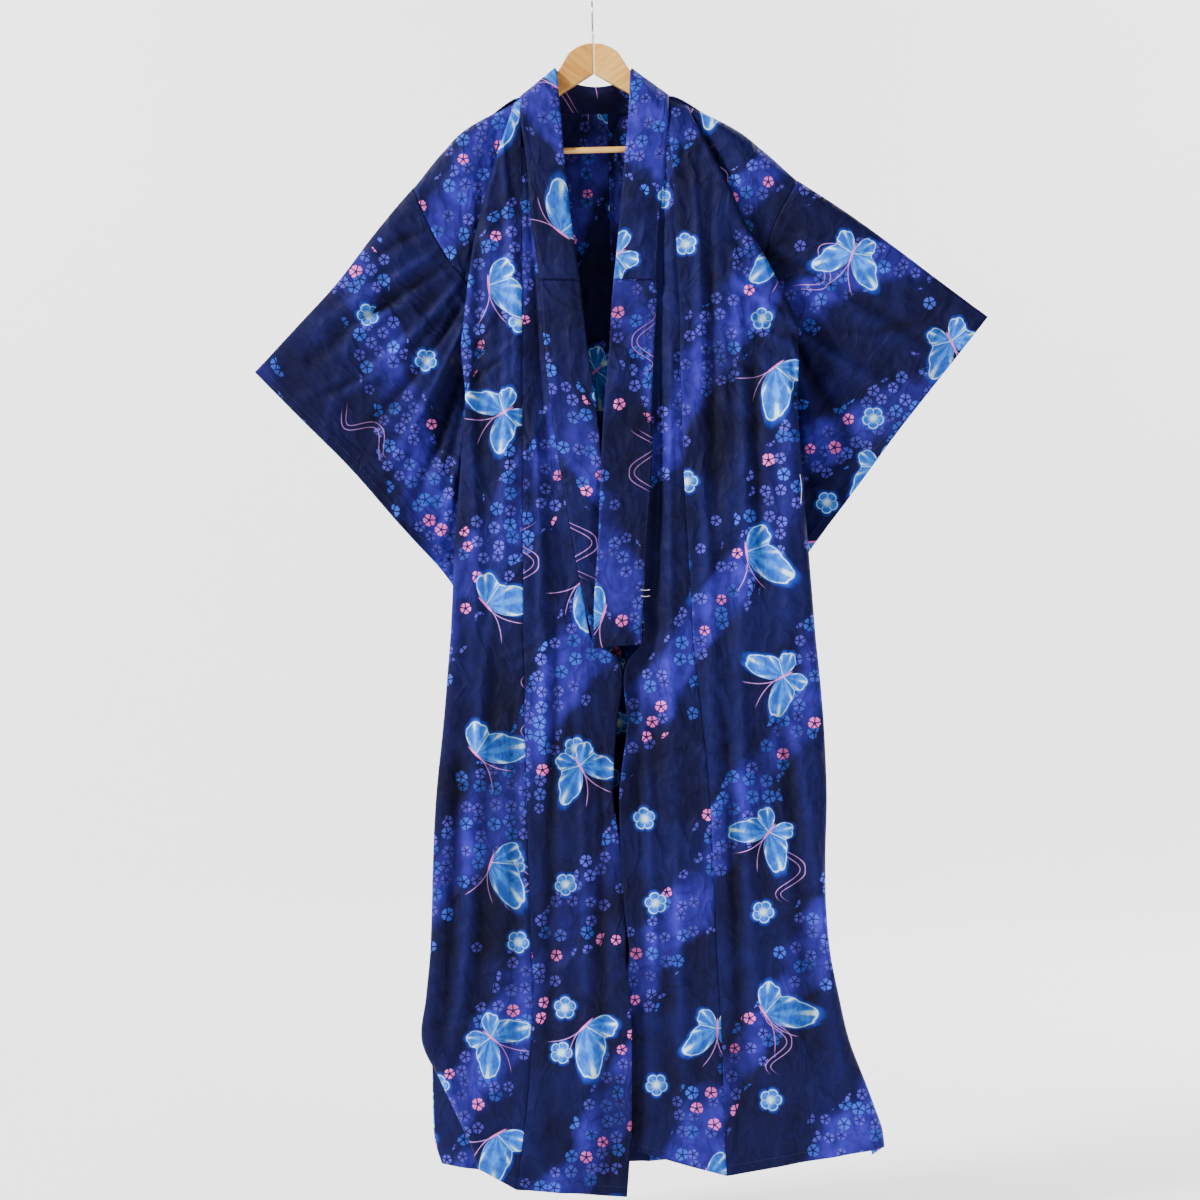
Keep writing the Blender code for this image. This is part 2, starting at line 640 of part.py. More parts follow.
def back_sections(front, shoulder, neck_points, side):
    """A back panel, from its outer edge in to the centre-back seam."""
    centre = table(CENTRE_COLUMNS, CENTRE)
    outer = side_line(front, shoulder, side)
    first = front[0].copy()
    first[:, 1] = [arm_y(point[0]) for point in first]
    neck = first[0]
    out = first[-1]
    ridge = [out, mix(out, neck, 1 / 3), mix(out, neck, 2 / 3), neck] + neck_points
    ridge[1] = nearest_ridge(first, ridge[1])
    ridge[2] = nearest_ridge(first, ridge[2])
    sections = [np.array(ridge)]
    for index, point in enumerate(outer[2:], start=2):
        drop = -front[index, 0, 2]
        x = read(centre, "x", drop)
        y = read(centre, "y", drop)
        end = xyz(x + side * EDGE_GAP, min(drop, BACK_HEM * CM), y)
        grow = min(max((drop - WAVE_START) / WAVE_GROW, 0.0), 1.0) * (1 - WAVE_FADE * drop)
        row = []
        for step, share in enumerate(BACK_SHARES):
            place = mix(point, end, share)
            place[1] = mix(point[1], y, min(share * BACK_FALL, 1.0))
            if 0 < share < 1:
                wave = math.sin(math.pi * WAVE_TURN * step + drop * WAVE_LEAN)
                place[1] += wave * BACK_FOLD_DEPTH * CM * grow
            row.append(place)
        sections.append(np.array(row))
    flat = over_arm(sections, 1)
    flat[0][4:, 1] -= SADDLE_EDGE
    flat[1][4:] = mix(sections[0][4:], sections[1][4:], NECK_SHARE)
    return np.array(flat)


def nearest_ridge(ridge, point):
    """A point moved to the ridge's height at its own x."""
    order = np.argsort(ridge[:, 0])
    height = np.interp(point[0], ridge[order, 0], ridge[order, 2])
    return np.array((point[0], arm_y(point[0]), height))


def shares_along(points):
    """Each point's share of the length of the line through them."""
    lengths = np.linalg.norm(np.diff(points, axis=0), axis=1)
    total = np.concatenate(([0.0], np.cumsum(lengths)))
    return total / total[-1]


def line_at(points, share):
    """The point at a share of a line's length."""
    places = shares_along(points)
    fine = smooth(points, stations(len(points), LINE_CUTS))
    fine_places = shares_along(fine)
    return np.array([np.interp(share, fine_places, fine[:, axis]) for axis in range(3)])


def sleeve_edges(front, back_line, free_edge, side):
    """The sleeve's inner edge on its front and back sheets: the armhole, then the free edge."""
    armhole = len(RIGHT_SHOULDER) + 1
    front_edge = [point.copy() for point in front[:armhole, -1]]
    back_edge = [point.copy() for point in front[:armhole, -1]]
    for index in range(armhole):
        back_edge[index][1] = back_line[index][1]
    for index in (armhole - 2, armhole - 1):
        back_edge[index][1] = max(back_edge[index][1], SLEEVE_BEHIND * CM)
    for row in table(EDGE_COLUMNS, free_edge):
        front_edge.append(xyz(row["x"], row["z"], row["front_y"]))
        back_edge.append(xyz(row["x"], row["z"], row["back_y"]))
    shift = np.array((side * EDGE_GAP, 0.0, 0.0))
    return np.array(front_edge) + shift, np.array(back_edge) + shift


def sleeve_sheet(inner, ridge, cuff):
    """A sheet stretched between the inner edge, the ridge and the cuff, by rows down the sleeve."""
    down = shares_along(inner)
    top_in, top_out, low_in, low_out = inner[0], ridge[-1], inner[-1], cuff[-1]
    rows = []
    for index, v in enumerate(down):
        cuff_point = line_at(cuff, v)
        row = []
        for u in SLEEVE_COLUMNS:
            ridge_point = line_at(ridge, u)
            bottom_point = mix(low_in, low_out, u)
            ruled = mix(inner[index], cuff_point, u) + mix(ridge_point, bottom_point, v)
            corners = mix(mix(top_in, top_out, u), mix(low_in, low_out, u), v)
            row.append(ruled - corners)
        rows.append(row)
    return np.array(rows)


def sleeve_ring(front, back_line, free_edge, ridge, cuff, side):
    """Rings round a sleeve, from the armhole to the cuff."""
    ridge = np.array([xyz(row["x"], row["z"], row["y"]) for row in table(LINE_COLUMNS, ridge)])
    cuff = np.array([xyz(row["x"], row["z"], row["y"]) for row in table(LINE_COLUMNS, cuff)])
    front_edge, back_edge = sleeve_edges(front, back_line, free_edge, side)
    ridge[0] = front_edge[0]
    ridge[0][1] = arm_y(ridge[0][0])
    sheet = sleeve_sheet(front_edge, ridge, cuff)
    down = shares_along(front_edge)
    depth = back_edge[:, 1] - front_edge[:, 1]
    back = sheet.copy()
    for i, v in enumerate(down):
        swell = SLEEVE_SWELL * CM * math.sin(math.pi * v) ** 0.5 if 0 < v < 1 else 0.0
        closed = SEWN_DEPTH * CM
        for j, u in enumerate(SLEEVE_COLUMNS):
            middle = closed + swell
            cuff_depth = closed + swell * max(0.0, math.sin(math.pi * min(v / CUFF_OPEN, 1.0)))
            far = mix(middle, cuff_depth, max(0.0, (u - 0.5) / 0.5))
            near = max(depth[i], RIDGE_DEPTH * CM)
            back[i, j, 1] += mix(near, far, min(u / NEAR_SHARE, 1.0))
    return sheet, back


def fold_line(sheet, back, row, beyond):
    """The fold that joins a sleeve's two sheets, just past their last row."""
    middle = (sheet[row] + back[row]) / 2
    away = sheet[row] - sheet[beyond]
    away[:, 1] = 0.0
    away /= np.linalg.norm(away, axis=1, keepdims=True)
    return middle + away * FOLD_PAST * CM


def sleeve_object(name, rings, finish, collection):
    sheet, back = (patch(part) for part in rings)
    top = fold_line(sheet, back, 0, 1)
    bottom = fold_line(sheet, back, -1, -2)
    around = np.concatenate((top[None], sheet, bottom[None], back[::-1]))
    return cloth_object(name, np.swapaxes(around, 0, 1), finish, collection, closed=True)


def arm_top(x):
    """Drop of the arm's upper edge, from the dome at the neck to the rounded end."""
    return float(np.interp(x / CM, *zip(*ARM_UPPER))) * CM


def arm_bottom(x):
    """Drop of the arm's lower edge, from the notch at the neck to the rounded end."""
    return float(np.interp(x / CM, *zip(*ARM_LOWER))) * CM


def wing_object(name, side, finish, collection):
    """One half of the hanger's body: a flat outline, thick, swept forward from the centre."""
    xs = [FIT_GAP / 2] + [corner * CM for corner in ARM_CORNERS]
    upper = [(x, arm_top(x)) for x in xs] + [(ARM_REACH, arm_top(ARM_REACH))]
    lower = [(x, arm_bottom(x)) for x in reversed(xs)]
    outline = upper + [(ARM_REACH, arm_bottom(ARM_REACH))] + lower
    mesh = bpy.data.meshes.new(name)
    wood = bmesh.new()
    half = ARM_THICK / 2
    rim = [wood.verts.new((side * x, arm_y(x) - half, -drop)) for x, drop in outline]
    face = wood.faces.new(rim)
    far = bmesh.ops.extrude_face_region(wood, geom=[face])["geom"]
    moved = [item for item in far if isinstance(item, bmesh.types.BMVert)]
    bmesh.ops.translate(wood, verts=moved, vec=(0.0, ARM_THICK, 0.0))
    bmesh.ops.recalc_face_normals(wood, faces=wood.faces)
    wood.to_mesh(mesh)
    wood.free()
    wing = add_object(name, mesh, finish, collection)
    round_edges = wing.modifiers.new("rounded edges", "BEVEL")
    round_edges.width = EDGE_ROUND
    round_edges.segments = 2
    round_edges.limit_method = "ANGLE"
    round_edges.angle_limit = EDGE_SHARP
    return wing


def cylinder_mesh(name, radius, length):
    mesh = bpy.data.meshes.new(name)
    shape = bmesh.new()
    bmesh.ops.create_cone(
        shape, cap_ends=True, segments=20, radius1=radius, radius2=radius, depth=length
    )
    shape.to_mesh(mesh)
    shape.free()
    return mesh


def tilt_hanger(things):
    """The hanger leans a little about the point that carries it."""
    turn = Matrix.Rotation(-HANGER_TILT, 4, "Y")
    for thing in things:
        thing.matrix_world = turn @ thing.matrix_world


def make_hanger(collection, cutters):
    wood = material("wood", WOOD, 0.35)
    wings = [wing_object("hanger_wing_right", -1, wood, collection)]
    wings.append(wing_object("hanger_wing_left", 1, wood, collection))
    lie = Matrix.Rotation(math.pi / 2, 4, "Y")
    place = Vector((0.0, arm_y(BAR_REACH), -BAR_DROP))
    bar = add_object(
        "hanger_bar", cylinder_mesh("hanger_bar", BAR_RADIUS, 2 * BAR_REACH), wood, collection
    )
    bar.matrix_world = Matrix.Translation(place) @ lie
    bore = add_object(
        "bar_bore",
        cylinder_mesh("bar_bore", BAR_RADIUS + FIT_GAP, 2 * (BAR_REACH + FIT_GAP)),
        wood,
        cutters,
    )
    bore.matrix_world = bar.matrix_world.copy()
    bore.hide_render = True
    bore.display_type = "WIRE"
    for wing in wings:
        cut = wing.modifiers.new("bar's hole", "BOOLEAN")
        cut.operation = "DIFFERENCE"
        cut.object = bore
    hook = hook_object(collection)
    tilt_hanger([*wings, bar, bore, hook])


def hook_object(collection):
    """A wire hook seen edge on: a stem, then most of a turn about the rail."""
    radius = HOOK_INNER + HOOK_WIRE
    centre = -HOOK_INNER
    points = [(ARM_BACK, -DOME_TOP + FIT_GAP)]
    points += [(y * CM, -drop * CM) for y, drop in HOOK_STEM]
    for degrees in range(HOOK_START, HOOK_STOP + 1, HOOK_STEP):
        turn = math.radians(degrees)
        points.append((radius * math.cos(turn), centre + radius * math.sin(turn)))
    points.append((HOOK_TIP[0] * CM, -HOOK_TIP[1] * CM))
    curve = bpy.data.curves.new("hanger_hook", "CURVE")
    curve.dimensions = "3D"
    curve.bevel_depth = HOOK_WIRE
    curve.bevel_resolution = 2
    curve.use_fill_caps = True
    line = curve.splines.new("POLY")
    line.points.add(len(points) - 1)
    for point, (y, z) in zip(line.points, points):
        point.co = (0.0, y, z, 1.0)
    hook = bpy.data.objects.new("hanger_hook", curve)
    collection.objects.link(hook)
    curve.materials.append(material("wire", WIRE, 0.3, 1.0))
    return hook


def make_robe(collection):
    cloth = material("printed cotton", CLOTH, 0.85)
    collar_cloth = material("collar cotton", COLLAR_CLOTH, 0.85)
    first = 3
    neck = [
        xyz(row["seam_x"], row["seam_z"] + SEAM_GAP, row["seam_y"])
        for row in table(NECK_COLUMNS, NECK)
    ]
    middle = neck[NECK_CENTRE]
    sides = (
        ("right", -1, RIGHT_SHOULDER, RIGHT_SKIRT, RIGHT_OVERLAP, RIGHT_COLLAR, (neck[0], neck[2])),
        ("left", 1, LEFT_SHOULDER, LEFT_SKIRT, LEFT_OVERLAP, LEFT_COLLAR, (neck[5], neck[4])),
    )
    edges = {"right": (RIGHT_FREE_EDGE, RIGHT_RIDGE, RIGHT_CUFF)}
    edges["left"] = (LEFT_FREE_EDGE, LEFT_RIDGE, LEFT_CUFF)
    collars = []
    for word, side, shoulder, skirt, overlap_rows, collar_rows, neck_side in sides:
        front = front_sections(shoulder, skirt)
        overlap = overlap_sections(front, overlap_rows, first)
        seam = middle + np.array((side * EDGE_GAP, 0.0, 0.0))
        back = back_sections(front, shoulder, [*neck_side, seam], side)
        cloth_object(f"front_{word}", patch(front), cloth, collection)
        cloth_object(f"overlap_{word}", patch(overlap), cloth, collection)
        cloth_object(f"back_{word}", patch(back), cloth, collection)
        free_edge, ridge, cuff = edges[word]
        back_line = side_line(front, shoulder, side)
        rings = sleeve_ring(front, back_line, free_edge, ridge, cuff, side)
        sleeve_object(f"sleeve_{word}", rings, cloth, collection)
        collars.append(collar_side(front, overlap, collar_rows, first, side))
    collar = collar_sections(*collars)
    band = patch(collar, row_cuts=2)
    cloth_object("collar", band, collar_cloth, collection)
    cloth_object("over_collar", over_collar_points(band), collar_cloth, collection)


def main():
    for thing in list(bpy.data.objects):
        bpy.data.objects.remove(thing)
    robe = bpy.data.collections.new("kimono_robe")
    cutters = bpy.data.collections.new("cutters")
    bpy.context.scene.collection.children.link(robe)
    bpy.context.scene.collection.children.link(cutters)
    make_hanger(robe, cutters)
    make_robe(robe)


main()
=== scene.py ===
"""The kimono robe on its wooden hanger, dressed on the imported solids.

Metres, +Z up, the front faces -Y, the wearer's right is at -X. Tables are in centimetres: x, the
drop below the hook's inside, and the depth y, which is negative towards the front.
"""

import math

import bpy
import numpy as np
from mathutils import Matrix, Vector


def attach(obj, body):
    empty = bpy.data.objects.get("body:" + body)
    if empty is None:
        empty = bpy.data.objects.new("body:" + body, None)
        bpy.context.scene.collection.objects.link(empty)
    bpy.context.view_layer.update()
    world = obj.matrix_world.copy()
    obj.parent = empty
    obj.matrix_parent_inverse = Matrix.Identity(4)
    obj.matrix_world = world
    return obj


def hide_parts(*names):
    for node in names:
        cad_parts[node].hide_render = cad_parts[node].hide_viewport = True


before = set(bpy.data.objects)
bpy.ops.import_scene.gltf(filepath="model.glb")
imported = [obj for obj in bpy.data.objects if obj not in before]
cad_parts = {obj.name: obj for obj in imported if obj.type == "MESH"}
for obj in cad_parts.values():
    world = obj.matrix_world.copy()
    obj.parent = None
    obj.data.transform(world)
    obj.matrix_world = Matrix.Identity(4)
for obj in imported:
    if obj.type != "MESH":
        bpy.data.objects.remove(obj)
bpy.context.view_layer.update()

CM = 0.01

# How far the over-collar lies off the collar, and the hanger's arms: depth at the middle, forward
# sweep for each metre out, and reach
PANEL_LIFT = 0.0019
ARM_BACK = 0.006
ARM_SWEEP = 0.09
ARM_REACH = 0.212

# Cloth over an arm: half the saddle's depth on the arm and past it, how far out it changes, half
# the depth at the very ridge, how far below the ridge the saddle is full, and its share at the neck
SADDLE_DEPTH = 0.0095
SADDLE_END = 0.005
SADDLE_FADE = 0.04
SADDLE_EDGE = 0.0003
SADDLE_DROP = 0.006
NECK_SHARE = 0.12

# A front panel's long fold: its round edge, the cloth it takes to turn, the depth at which it is
# full round, and shares of the way across at which the cloth is shaped
FOLD_RADIUS = 0.0025
FOLD_LEG = 0.0035
FOLD_TURN = 1.6
FOLD_DEEP = 0.01
PANEL_SHARES = (0.4, 0.75)
PANEL_LEG_LIMIT = 0.15
TUCK_LEG_LIMIT = 0.3
SKIRT_TUCK_SHARE = 0.7
SKIRT_MID_SHARE = 0.6

# Shares of the way across an overlap, each with its share of the dip, and across the collar
OVERLAP_SHARES = ((0.0, 0.0), (0.3, 0.0), (0.55, 0.4), (0.78, 1.0), (0.93, 0.4), (1.0, 0.0))
BAND_SHARES = (0.33, 0.67)
COLLAR_CROWN = 0.0015
COLLAR_CUTS = 2
# The first front section beside an overlap, and how far past its table's ends the collar is cut
OVERLAP_FIRST = 3
COLLAR_END_SLACK = 0.005
RIDGE_SLACK = 0.001

SHOULDER_COLUMNS = """seam_x seam_z crest_x crest_z tuck_x tuck_z mid_x mid_z out_x out_z
                      lay_y under_y mid_y out_y back_y"""

# Wearer's right shoulder: the panel runs from the front-overlap seam out to a long diagonal
# fold (crest), back in behind it (tuck) and out again to the armhole (out).
RIGHT_SHOULDER = (
    (-10.4, 13.9, -11.1, 14.5, -11.8, 14.9, -19.6, 19.7, -26.0, 27.4, 0.0, 0.0, 0.0, 0.0, 0.0),
    (-10.4, 17.8, -12.3, 18.1, -12.0, 18.2, -18.7, 22.9, -25.0, 30.1, -2.6, -1.8, -2.8, -2.4, -0.9),
    (-10.3, 21.5, -13.4, 21.5, -12.0, 21.5, -17.7, 25.5, -23.9, 32.6, -3.0, -2.0, -2.3, -2.0, -0.1),
    (-10.2, 26.6, -15.0, 26.7, -12.8, 26.4, -16.6, 29.2, -22.5, 35.3, -3.1, -2.1, -1.8, -1.3, 0.8),
    (-10.2, 31.7, -16.4, 31.8, -13.6, 31.4, -15.9, 32.9, -20.7, 38.0, -3.1, -2.1, -1.6, -0.6, 1.4),
    (-10.2, 36.5, -17.4, 36.6, -14.0, 36.4, -15.8, 37.2, -18.8, 40.3, -3.2, -2.1, -1.4, 0.1, 1.8),
    (-10.2, 41.2, -18.0, 41.2, -14.2, 41.3, -16.1, 42.0, -17.4, 43.7, -3.2, -2.0, -1.1, 0.7, 2.0),
    (-10.2, 45.6, -18.5, 45.6, -14.4, 45.8, -16.3, 46.4, -17.5, 47.3, -3.2, -1.9, -0.8, 1.1, 2.1),
)

LEFT_SHOULDER = (
    (11.1, 13.7, 13.4, 14.9, 14.2, 15.2, 22.3, 19.7, 29.9, 26.4, 0.0, 0.0, 0.0, 0.0, 0.0),
    (11.1, 17.8, 15.2, 18.2, 14.9, 18.5, 22.3, 23.5, 28.8, 28.5, -2.8, -2.0, -2.9, -2.7, -1.1),
    (11.4, 21.5, 17.1, 21.6, 15.8, 21.6, 22.3, 26.0, 27.7, 30.4, -3.1, -2.1, -2.4, -2.3, -0.3),
    (11.8, 26.7, 19.7, 26.7, 17.5, 26.6, 21.9, 29.2, 26.6, 32.7, -3.2, -2.1, -1.9, -1.6, 0.6),
    (12.1, 32.3, 22.3, 32.4, 19.7, 32.0, 22.0, 33.0, 25.7, 35.5, -3.1, -2.1, -1.6, -0.8, 1.3),
    (12.4, 37.8, 25.4, 37.8, 22.2, 37.5, 23.4, 38.1, 25.3, 39.3, -3.2, -2.1, -1.4, 0.0, 1.8),
    (12.7, 43.4, 28.2, 43.4, 24.6, 43.4, 25.7, 43.8, 27.2, 44.7, -3.2, -2.0, -1.1, 0.7, 2.0),
    (12.8, 47.0, 29.9, 47.0, 25.8, 47.4, 27.4, 47.9, 28.7, 48.5, -3.2, -1.9, -0.8, 1.1, 2.1),
)

SKIRT_COLUMNS = "seam_x seam_z crest_x crest_z tuck_x out_x out_z"

# Below the armhole: the crest is the panel's visible side edge, and the side seam (out) lies
# behind it, but for the last hand's breadth on the right, where the back shows past the front.
RIGHT_SKIRT = (
    (-10.2, 50.7, -19.0, 50.7, -14.6, -16.6, 51.0),
    (-10.2, 57.2, -18.4, 57.2, -14.4, -16.8, 57.4),
    (-10.1, 67.3, -19.0, 67.3, -14.6, -18.0, 67.3),
    (-10.1, 78.4, -19.9, 78.4, -15.2, -18.9, 78.4),
    (-10.0, 88.0, -20.3, 88.0, -15.6, -19.4, 88.0),
    (-10.0, 93.4, -20.6, 93.4, -15.8, -19.7, 93.4),
    (-9.9, 96.0, -20.8, 96.0, -15.9, -19.8, 96.0),
    (-9.8, 105.8, -21.6, 105.8, -16.2, -20.6, 105.8),
    (-9.5, 115.4, -22.6, 115.4, -17.0, -21.6, 115.4),
    (-9.3, 125.4, -23.1, 125.4, -17.5, -22.2, 125.4),
    (-9.0, 134.0, -23.3, 134.0, -17.6, -22.5, 134.0),
    (-8.8, 138.6, -23.5, 138.6, -17.7, -22.7, 138.6),
    (-8.5, 145.1, -24.1, 145.1, -17.8, -23.2, 145.1),
    (-8.8, 151.4, -24.7, 151.4, -17.6, -23.6, 151.4),
    (-9.1, 157.0, -21.9, 157.4, -16.6, -23.4, 157.0),
    (-9.6, 162.4, -19.6, 162.4, -15.2, -23.3, 162.4),
    (-10.3, 168.0, -17.4, 167.2, -13.8, -22.9, 167.2),
    (-10.9, 173.1, -16.6, 170.0, -13.4, -22.0, 170.0),
)

LEFT_SKIRT = (
    (12.8, 50.7, 30.0, 50.7, 26.2, 28.0, 51.8),
    (13.0, 57.2, 29.9, 57.2, 26.6, 28.4, 57.4),
    (13.3, 67.3, 30.4, 67.3, 27.4, 29.4, 67.3),
    (13.9, 78.4, 31.3, 78.4, 28.4, 30.3, 78.4),
    (14.5, 88.0, 32.1, 88.0, 29.6, 31.2, 88.0),
    (14.8, 93.8, 32.6, 93.8, 30.1, 31.7, 93.8),
    (15.1, 96.4, 32.9, 96.4, 30.4, 32.0, 96.4),
    (16.2, 105.8, 33.7, 105.8, 31.2, 32.8, 105.8),
    (17.1, 115.4, 34.1, 115.4, 31.8, 33.3, 115.4),
    (17.6, 125.4, 33.9, 125.4, 31.8, 33.1, 125.4),
    (18.0, 134.0, 34.1, 134.0, 32.0, 33.3, 134.0),
    (18.2, 138.6, 34.6, 138.6, 32.6, 33.8, 138.6),
    (18.6, 145.1, 35.9, 145.1, 33.9, 35.1, 145.1),
    (18.9, 151.4, 37.4, 151.4, 35.4, 36.6, 151.4),
    (19.1, 158.1, 39.7, 157.4, 37.7, 38.9, 157.4),
    (19.3, 163.1, 41.2, 161.4, 39.3, 40.4, 161.4),
    (19.4, 167.4, 42.2, 164.4, 40.4, 41.4, 164.4),
    (19.6, 171.1, 42.5, 166.9, 40.8, 41.7, 166.9),
)

SKIRT_LAY = -3.2
SKIRT_UNDER = -1.9
SKIRT_MID = -0.7
SIDE_SEAM_Y = 0.8

# The front overlaps' inner edges: the collar's seam down to its end, then the free edge.
# dip is how far the cloth falls back beside that edge.
OVERLAP_COLUMNS = "drop edge_x edge_z edge_y dip"

RIGHT_OVERLAP = (
    (21.5, -9.8, 21.5, -2.5, 0.0),
    (26.6, -9.3, 26.6, -2.7, 0.0),
    (31.7, -8.9, 31.7, -2.8, 0.1),
    (36.5, -8.2, 36.5, -2.8, 0.2),
    (41.2, -7.6, 41.2, -2.8, 0.4),
    (45.6, -7.3, 45.6, -2.8, 0.5),
    (50.7, -6.9, 50.7, -2.8, 0.6),
    (57.2, -6.2, 57.2, -2.7, 0.6),
    (67.3, -4.8, 67.3, -2.4, 0.5),
    (78.4, -2.9, 78.4, -2.2, 0.4),
    (88.0, -1.1, 88.0, -2.2, 0.3),
    (93.4, 0.2, 93.4, -2.2, 0.2),
    (96.0, 3.8, 96.0, -2.3, 0.2),
    (105.8, 3.6, 105.8, -2.5, 0.1),
    (115.4, 3.1, 115.4, -2.7, 0.0),
    (125.4, 4.5, 125.4, -2.6, 0.0),
    (134.0, 5.0, 134.0, -2.6, 0.0),
    (138.6, 4.9, 138.6, -3.0, 0.0),
    (145.1, 5.6, 145.2, -3.6, 0.0),
    (151.4, 5.8, 151.6, -3.6, 0.0),
    (157.0, 5.8, 157.4, -3.6, 0.0),
    (162.4, 5.8, 163.0, -3.6, 0.0),
    (168.0, 5.5, 168.6, -3.5, 0.0),
    (173.1, 5.1, 174.1, -3.4, 0.0),
)

LEFT_OVERLAP = (
    (21.5, 10.8, 21.5, -2.5, 0.0),
    (26.7, 10.4, 26.7, -2.7, 0.1),
    (32.3, 9.9, 32.3, -2.8, 0.3),
    (37.8, 9.6, 37.8, -2.9, 0.5),
    (43.4, 9.4, 43.4, -3.0, 0.7),
    (47.0, 9.2, 47.0, -3.1, 0.8),
    (50.7, 9.0, 50.7, -3.2, 0.9),
    (57.2, 8.7, 57.2, -3.3, 1.1),
    (67.3, 8.7, 67.3, -3.5, 1.2),
    (78.4, 8.1, 78.4, -3.6, 1.2),
    (88.0, 7.4, 88.0, -3.6, 1.2),
    (93.8, 7.2, 93.8, -3.6, 1.1),
    (96.4, 5.3, 96.2, -3.5, 1.0),
    (105.8, 5.1, 105.8, -3.4, 0.8),
    (115.4, 4.0, 115.4, -3.3, 0.5),
    (125.4, 4.3, 125.4, -3.3, 0.2),
    (134.0, 4.9, 134.0, -3.3, 0.0),
    (138.6, 5.4, 138.6, -2.9, 0.0),
    (145.1, 4.1, 145.0, -2.5, 0.0),
    (151.4, 3.8, 151.0, -2.4, 0.0),
    (158.1, 3.6, 156.8, -2.4, 0.0),
    (163.1, 3.6, 161.2, -2.4, 0.0),
    (167.4, 4.2, 164.6, -2.4, 0.0),
    (171.1, 6.3, 167.6, -2.4, 0.0),
)

# The collar's inner edge on each front, by the drop of its seam.
COLLAR_COLUMNS = "drop edge_x edge_z edge_y"

RIGHT_COLLAR = (
    (13.9, -5.3, 9.6, 0.0),
    (14.5, -5.2, 10.3, -1.0),
    (17.8, -4.5, 17.4, -2.1),
    (21.5, -4.2, 21.4, -2.5),
    (31.7, -3.1, 31.7, -2.9),
    (41.2, -1.7, 41.2, -3.1),
    (50.7, -0.6, 50.7, -3.1),
    (57.2, 0.4, 57.2, -3.0),
    (67.3, 1.6, 67.3, -2.7),
    (78.4, 3.4, 78.4, -2.3),
    (88.0, 5.2, 88.0, -2.2),
    (93.4, 6.6, 93.4, -2.2),
)

LEFT_COLLAR = (
    (13.7, 5.7, 9.7, 0.0),
    (14.3, 5.6, 10.4, -1.0),
    (17.8, 5.3, 17.5, -2.1),
    (21.5, 4.9, 21.4, -2.5),
    (32.3, 4.0, 32.3, -3.0),
    (43.4, 2.9, 43.4, -3.4),
    (50.7, 2.5, 50.7, -3.6),
    (57.2, 1.9, 57.2, -3.7),
    (67.3, 1.3, 67.3, -3.8),
    (78.4, 0.9, 78.4, -3.9),
    (88.0, 0.3, 88.0, -3.9),
    (93.8, 0.3, 94.4, -3.9),
)

# Round the back of the neck, from the wearer's right shoulder to the left one.
NECK_COLUMNS = "seam_x seam_z seam_y edge_x edge_z edge_y"

NECK = (
    (-9.4, 14.3, 1.7, -4.9, 9.9, 1.9),
    (-7.0, 14.9, 3.0, -3.8, 10.6, 3.3),
    (-3.2, 15.4, 3.8, -1.8, 11.2, 4.2),
    (2.3, 15.6, 4.1, 1.2, 11.4, 4.6),
    (7.2, 15.1, 3.6, 3.8, 10.9, 4.0),
    (9.6, 14.4, 2.2, 5.1, 10.1, 2.4),
)
NECK_CENTRE = 3

# Drop at which the over-collar ends, and those between which the collar comes to lie on the fronts
OVER_COLLAR_DROP = 0.408
NECK_DROPS = (0.12, 0.2)

# The centre-back seam, the back's hem, and the back panels' long waves with the slack under the arm
CENTRE_COLUMNS = "drop x y"
CENTRE = (
    (15.6, 2.3, 4.1),
    (20.0, 2.4, 3.3),
    (30.0, 2.6, 2.5),
    (50.0, 3.0, 2.3),
    (100.0, 5.0, 2.2),
    (140.0, 7.0, 2.1),
    (170.5, 8.5, 2.1),
)
BACK_HEM = 170.0
BACK_FOLD_DEPTH = 0.45
BACK_SLACK = 1.0
BACK_SLACK_Y = 2.1
SLACK_ROWS = 3
BACK_SHARES = (0.0, 0.2, 0.4, 0.6, 0.73, 0.86, 1.0)
BACK_FALL = 2.2
WAVE_TURN = 1.5
WAVE_LEAN = 2.0
WAVE_START = 0.2
WAVE_GROW = 0.3
WAVE_FADE = 0.35

# Sleeves: the free inner edge goes on below the armhole and behind the back panel. Each has a
# ridge, from the armhole out, and a cuff, from the ridge down.
EDGE_COLUMNS = "x z front_y back_y"

RIGHT_FREE_EDGE = (
    (-17.8, 50.4, 2.4, 4.0),
    (-17.2, 53.6, 3.4, 5.0),
    (-16.6, 59.4, 3.6, 5.2),
    (-14.9, 65.3, 3.6, 5.3),
    (-8.3, 73.3, 3.7, 5.4),
)
LEFT_FREE_EDGE = (
    (29.0, 51.4, 2.4, 4.0),
    (28.4, 54.6, 3.4, 5.0),
    (27.9, 60.0, 3.6, 5.2),
    (25.3, 64.9, 3.6, 5.3),
    (15.8, 69.6, 3.7, 5.4),
)
LINE_COLUMNS = "x z y"

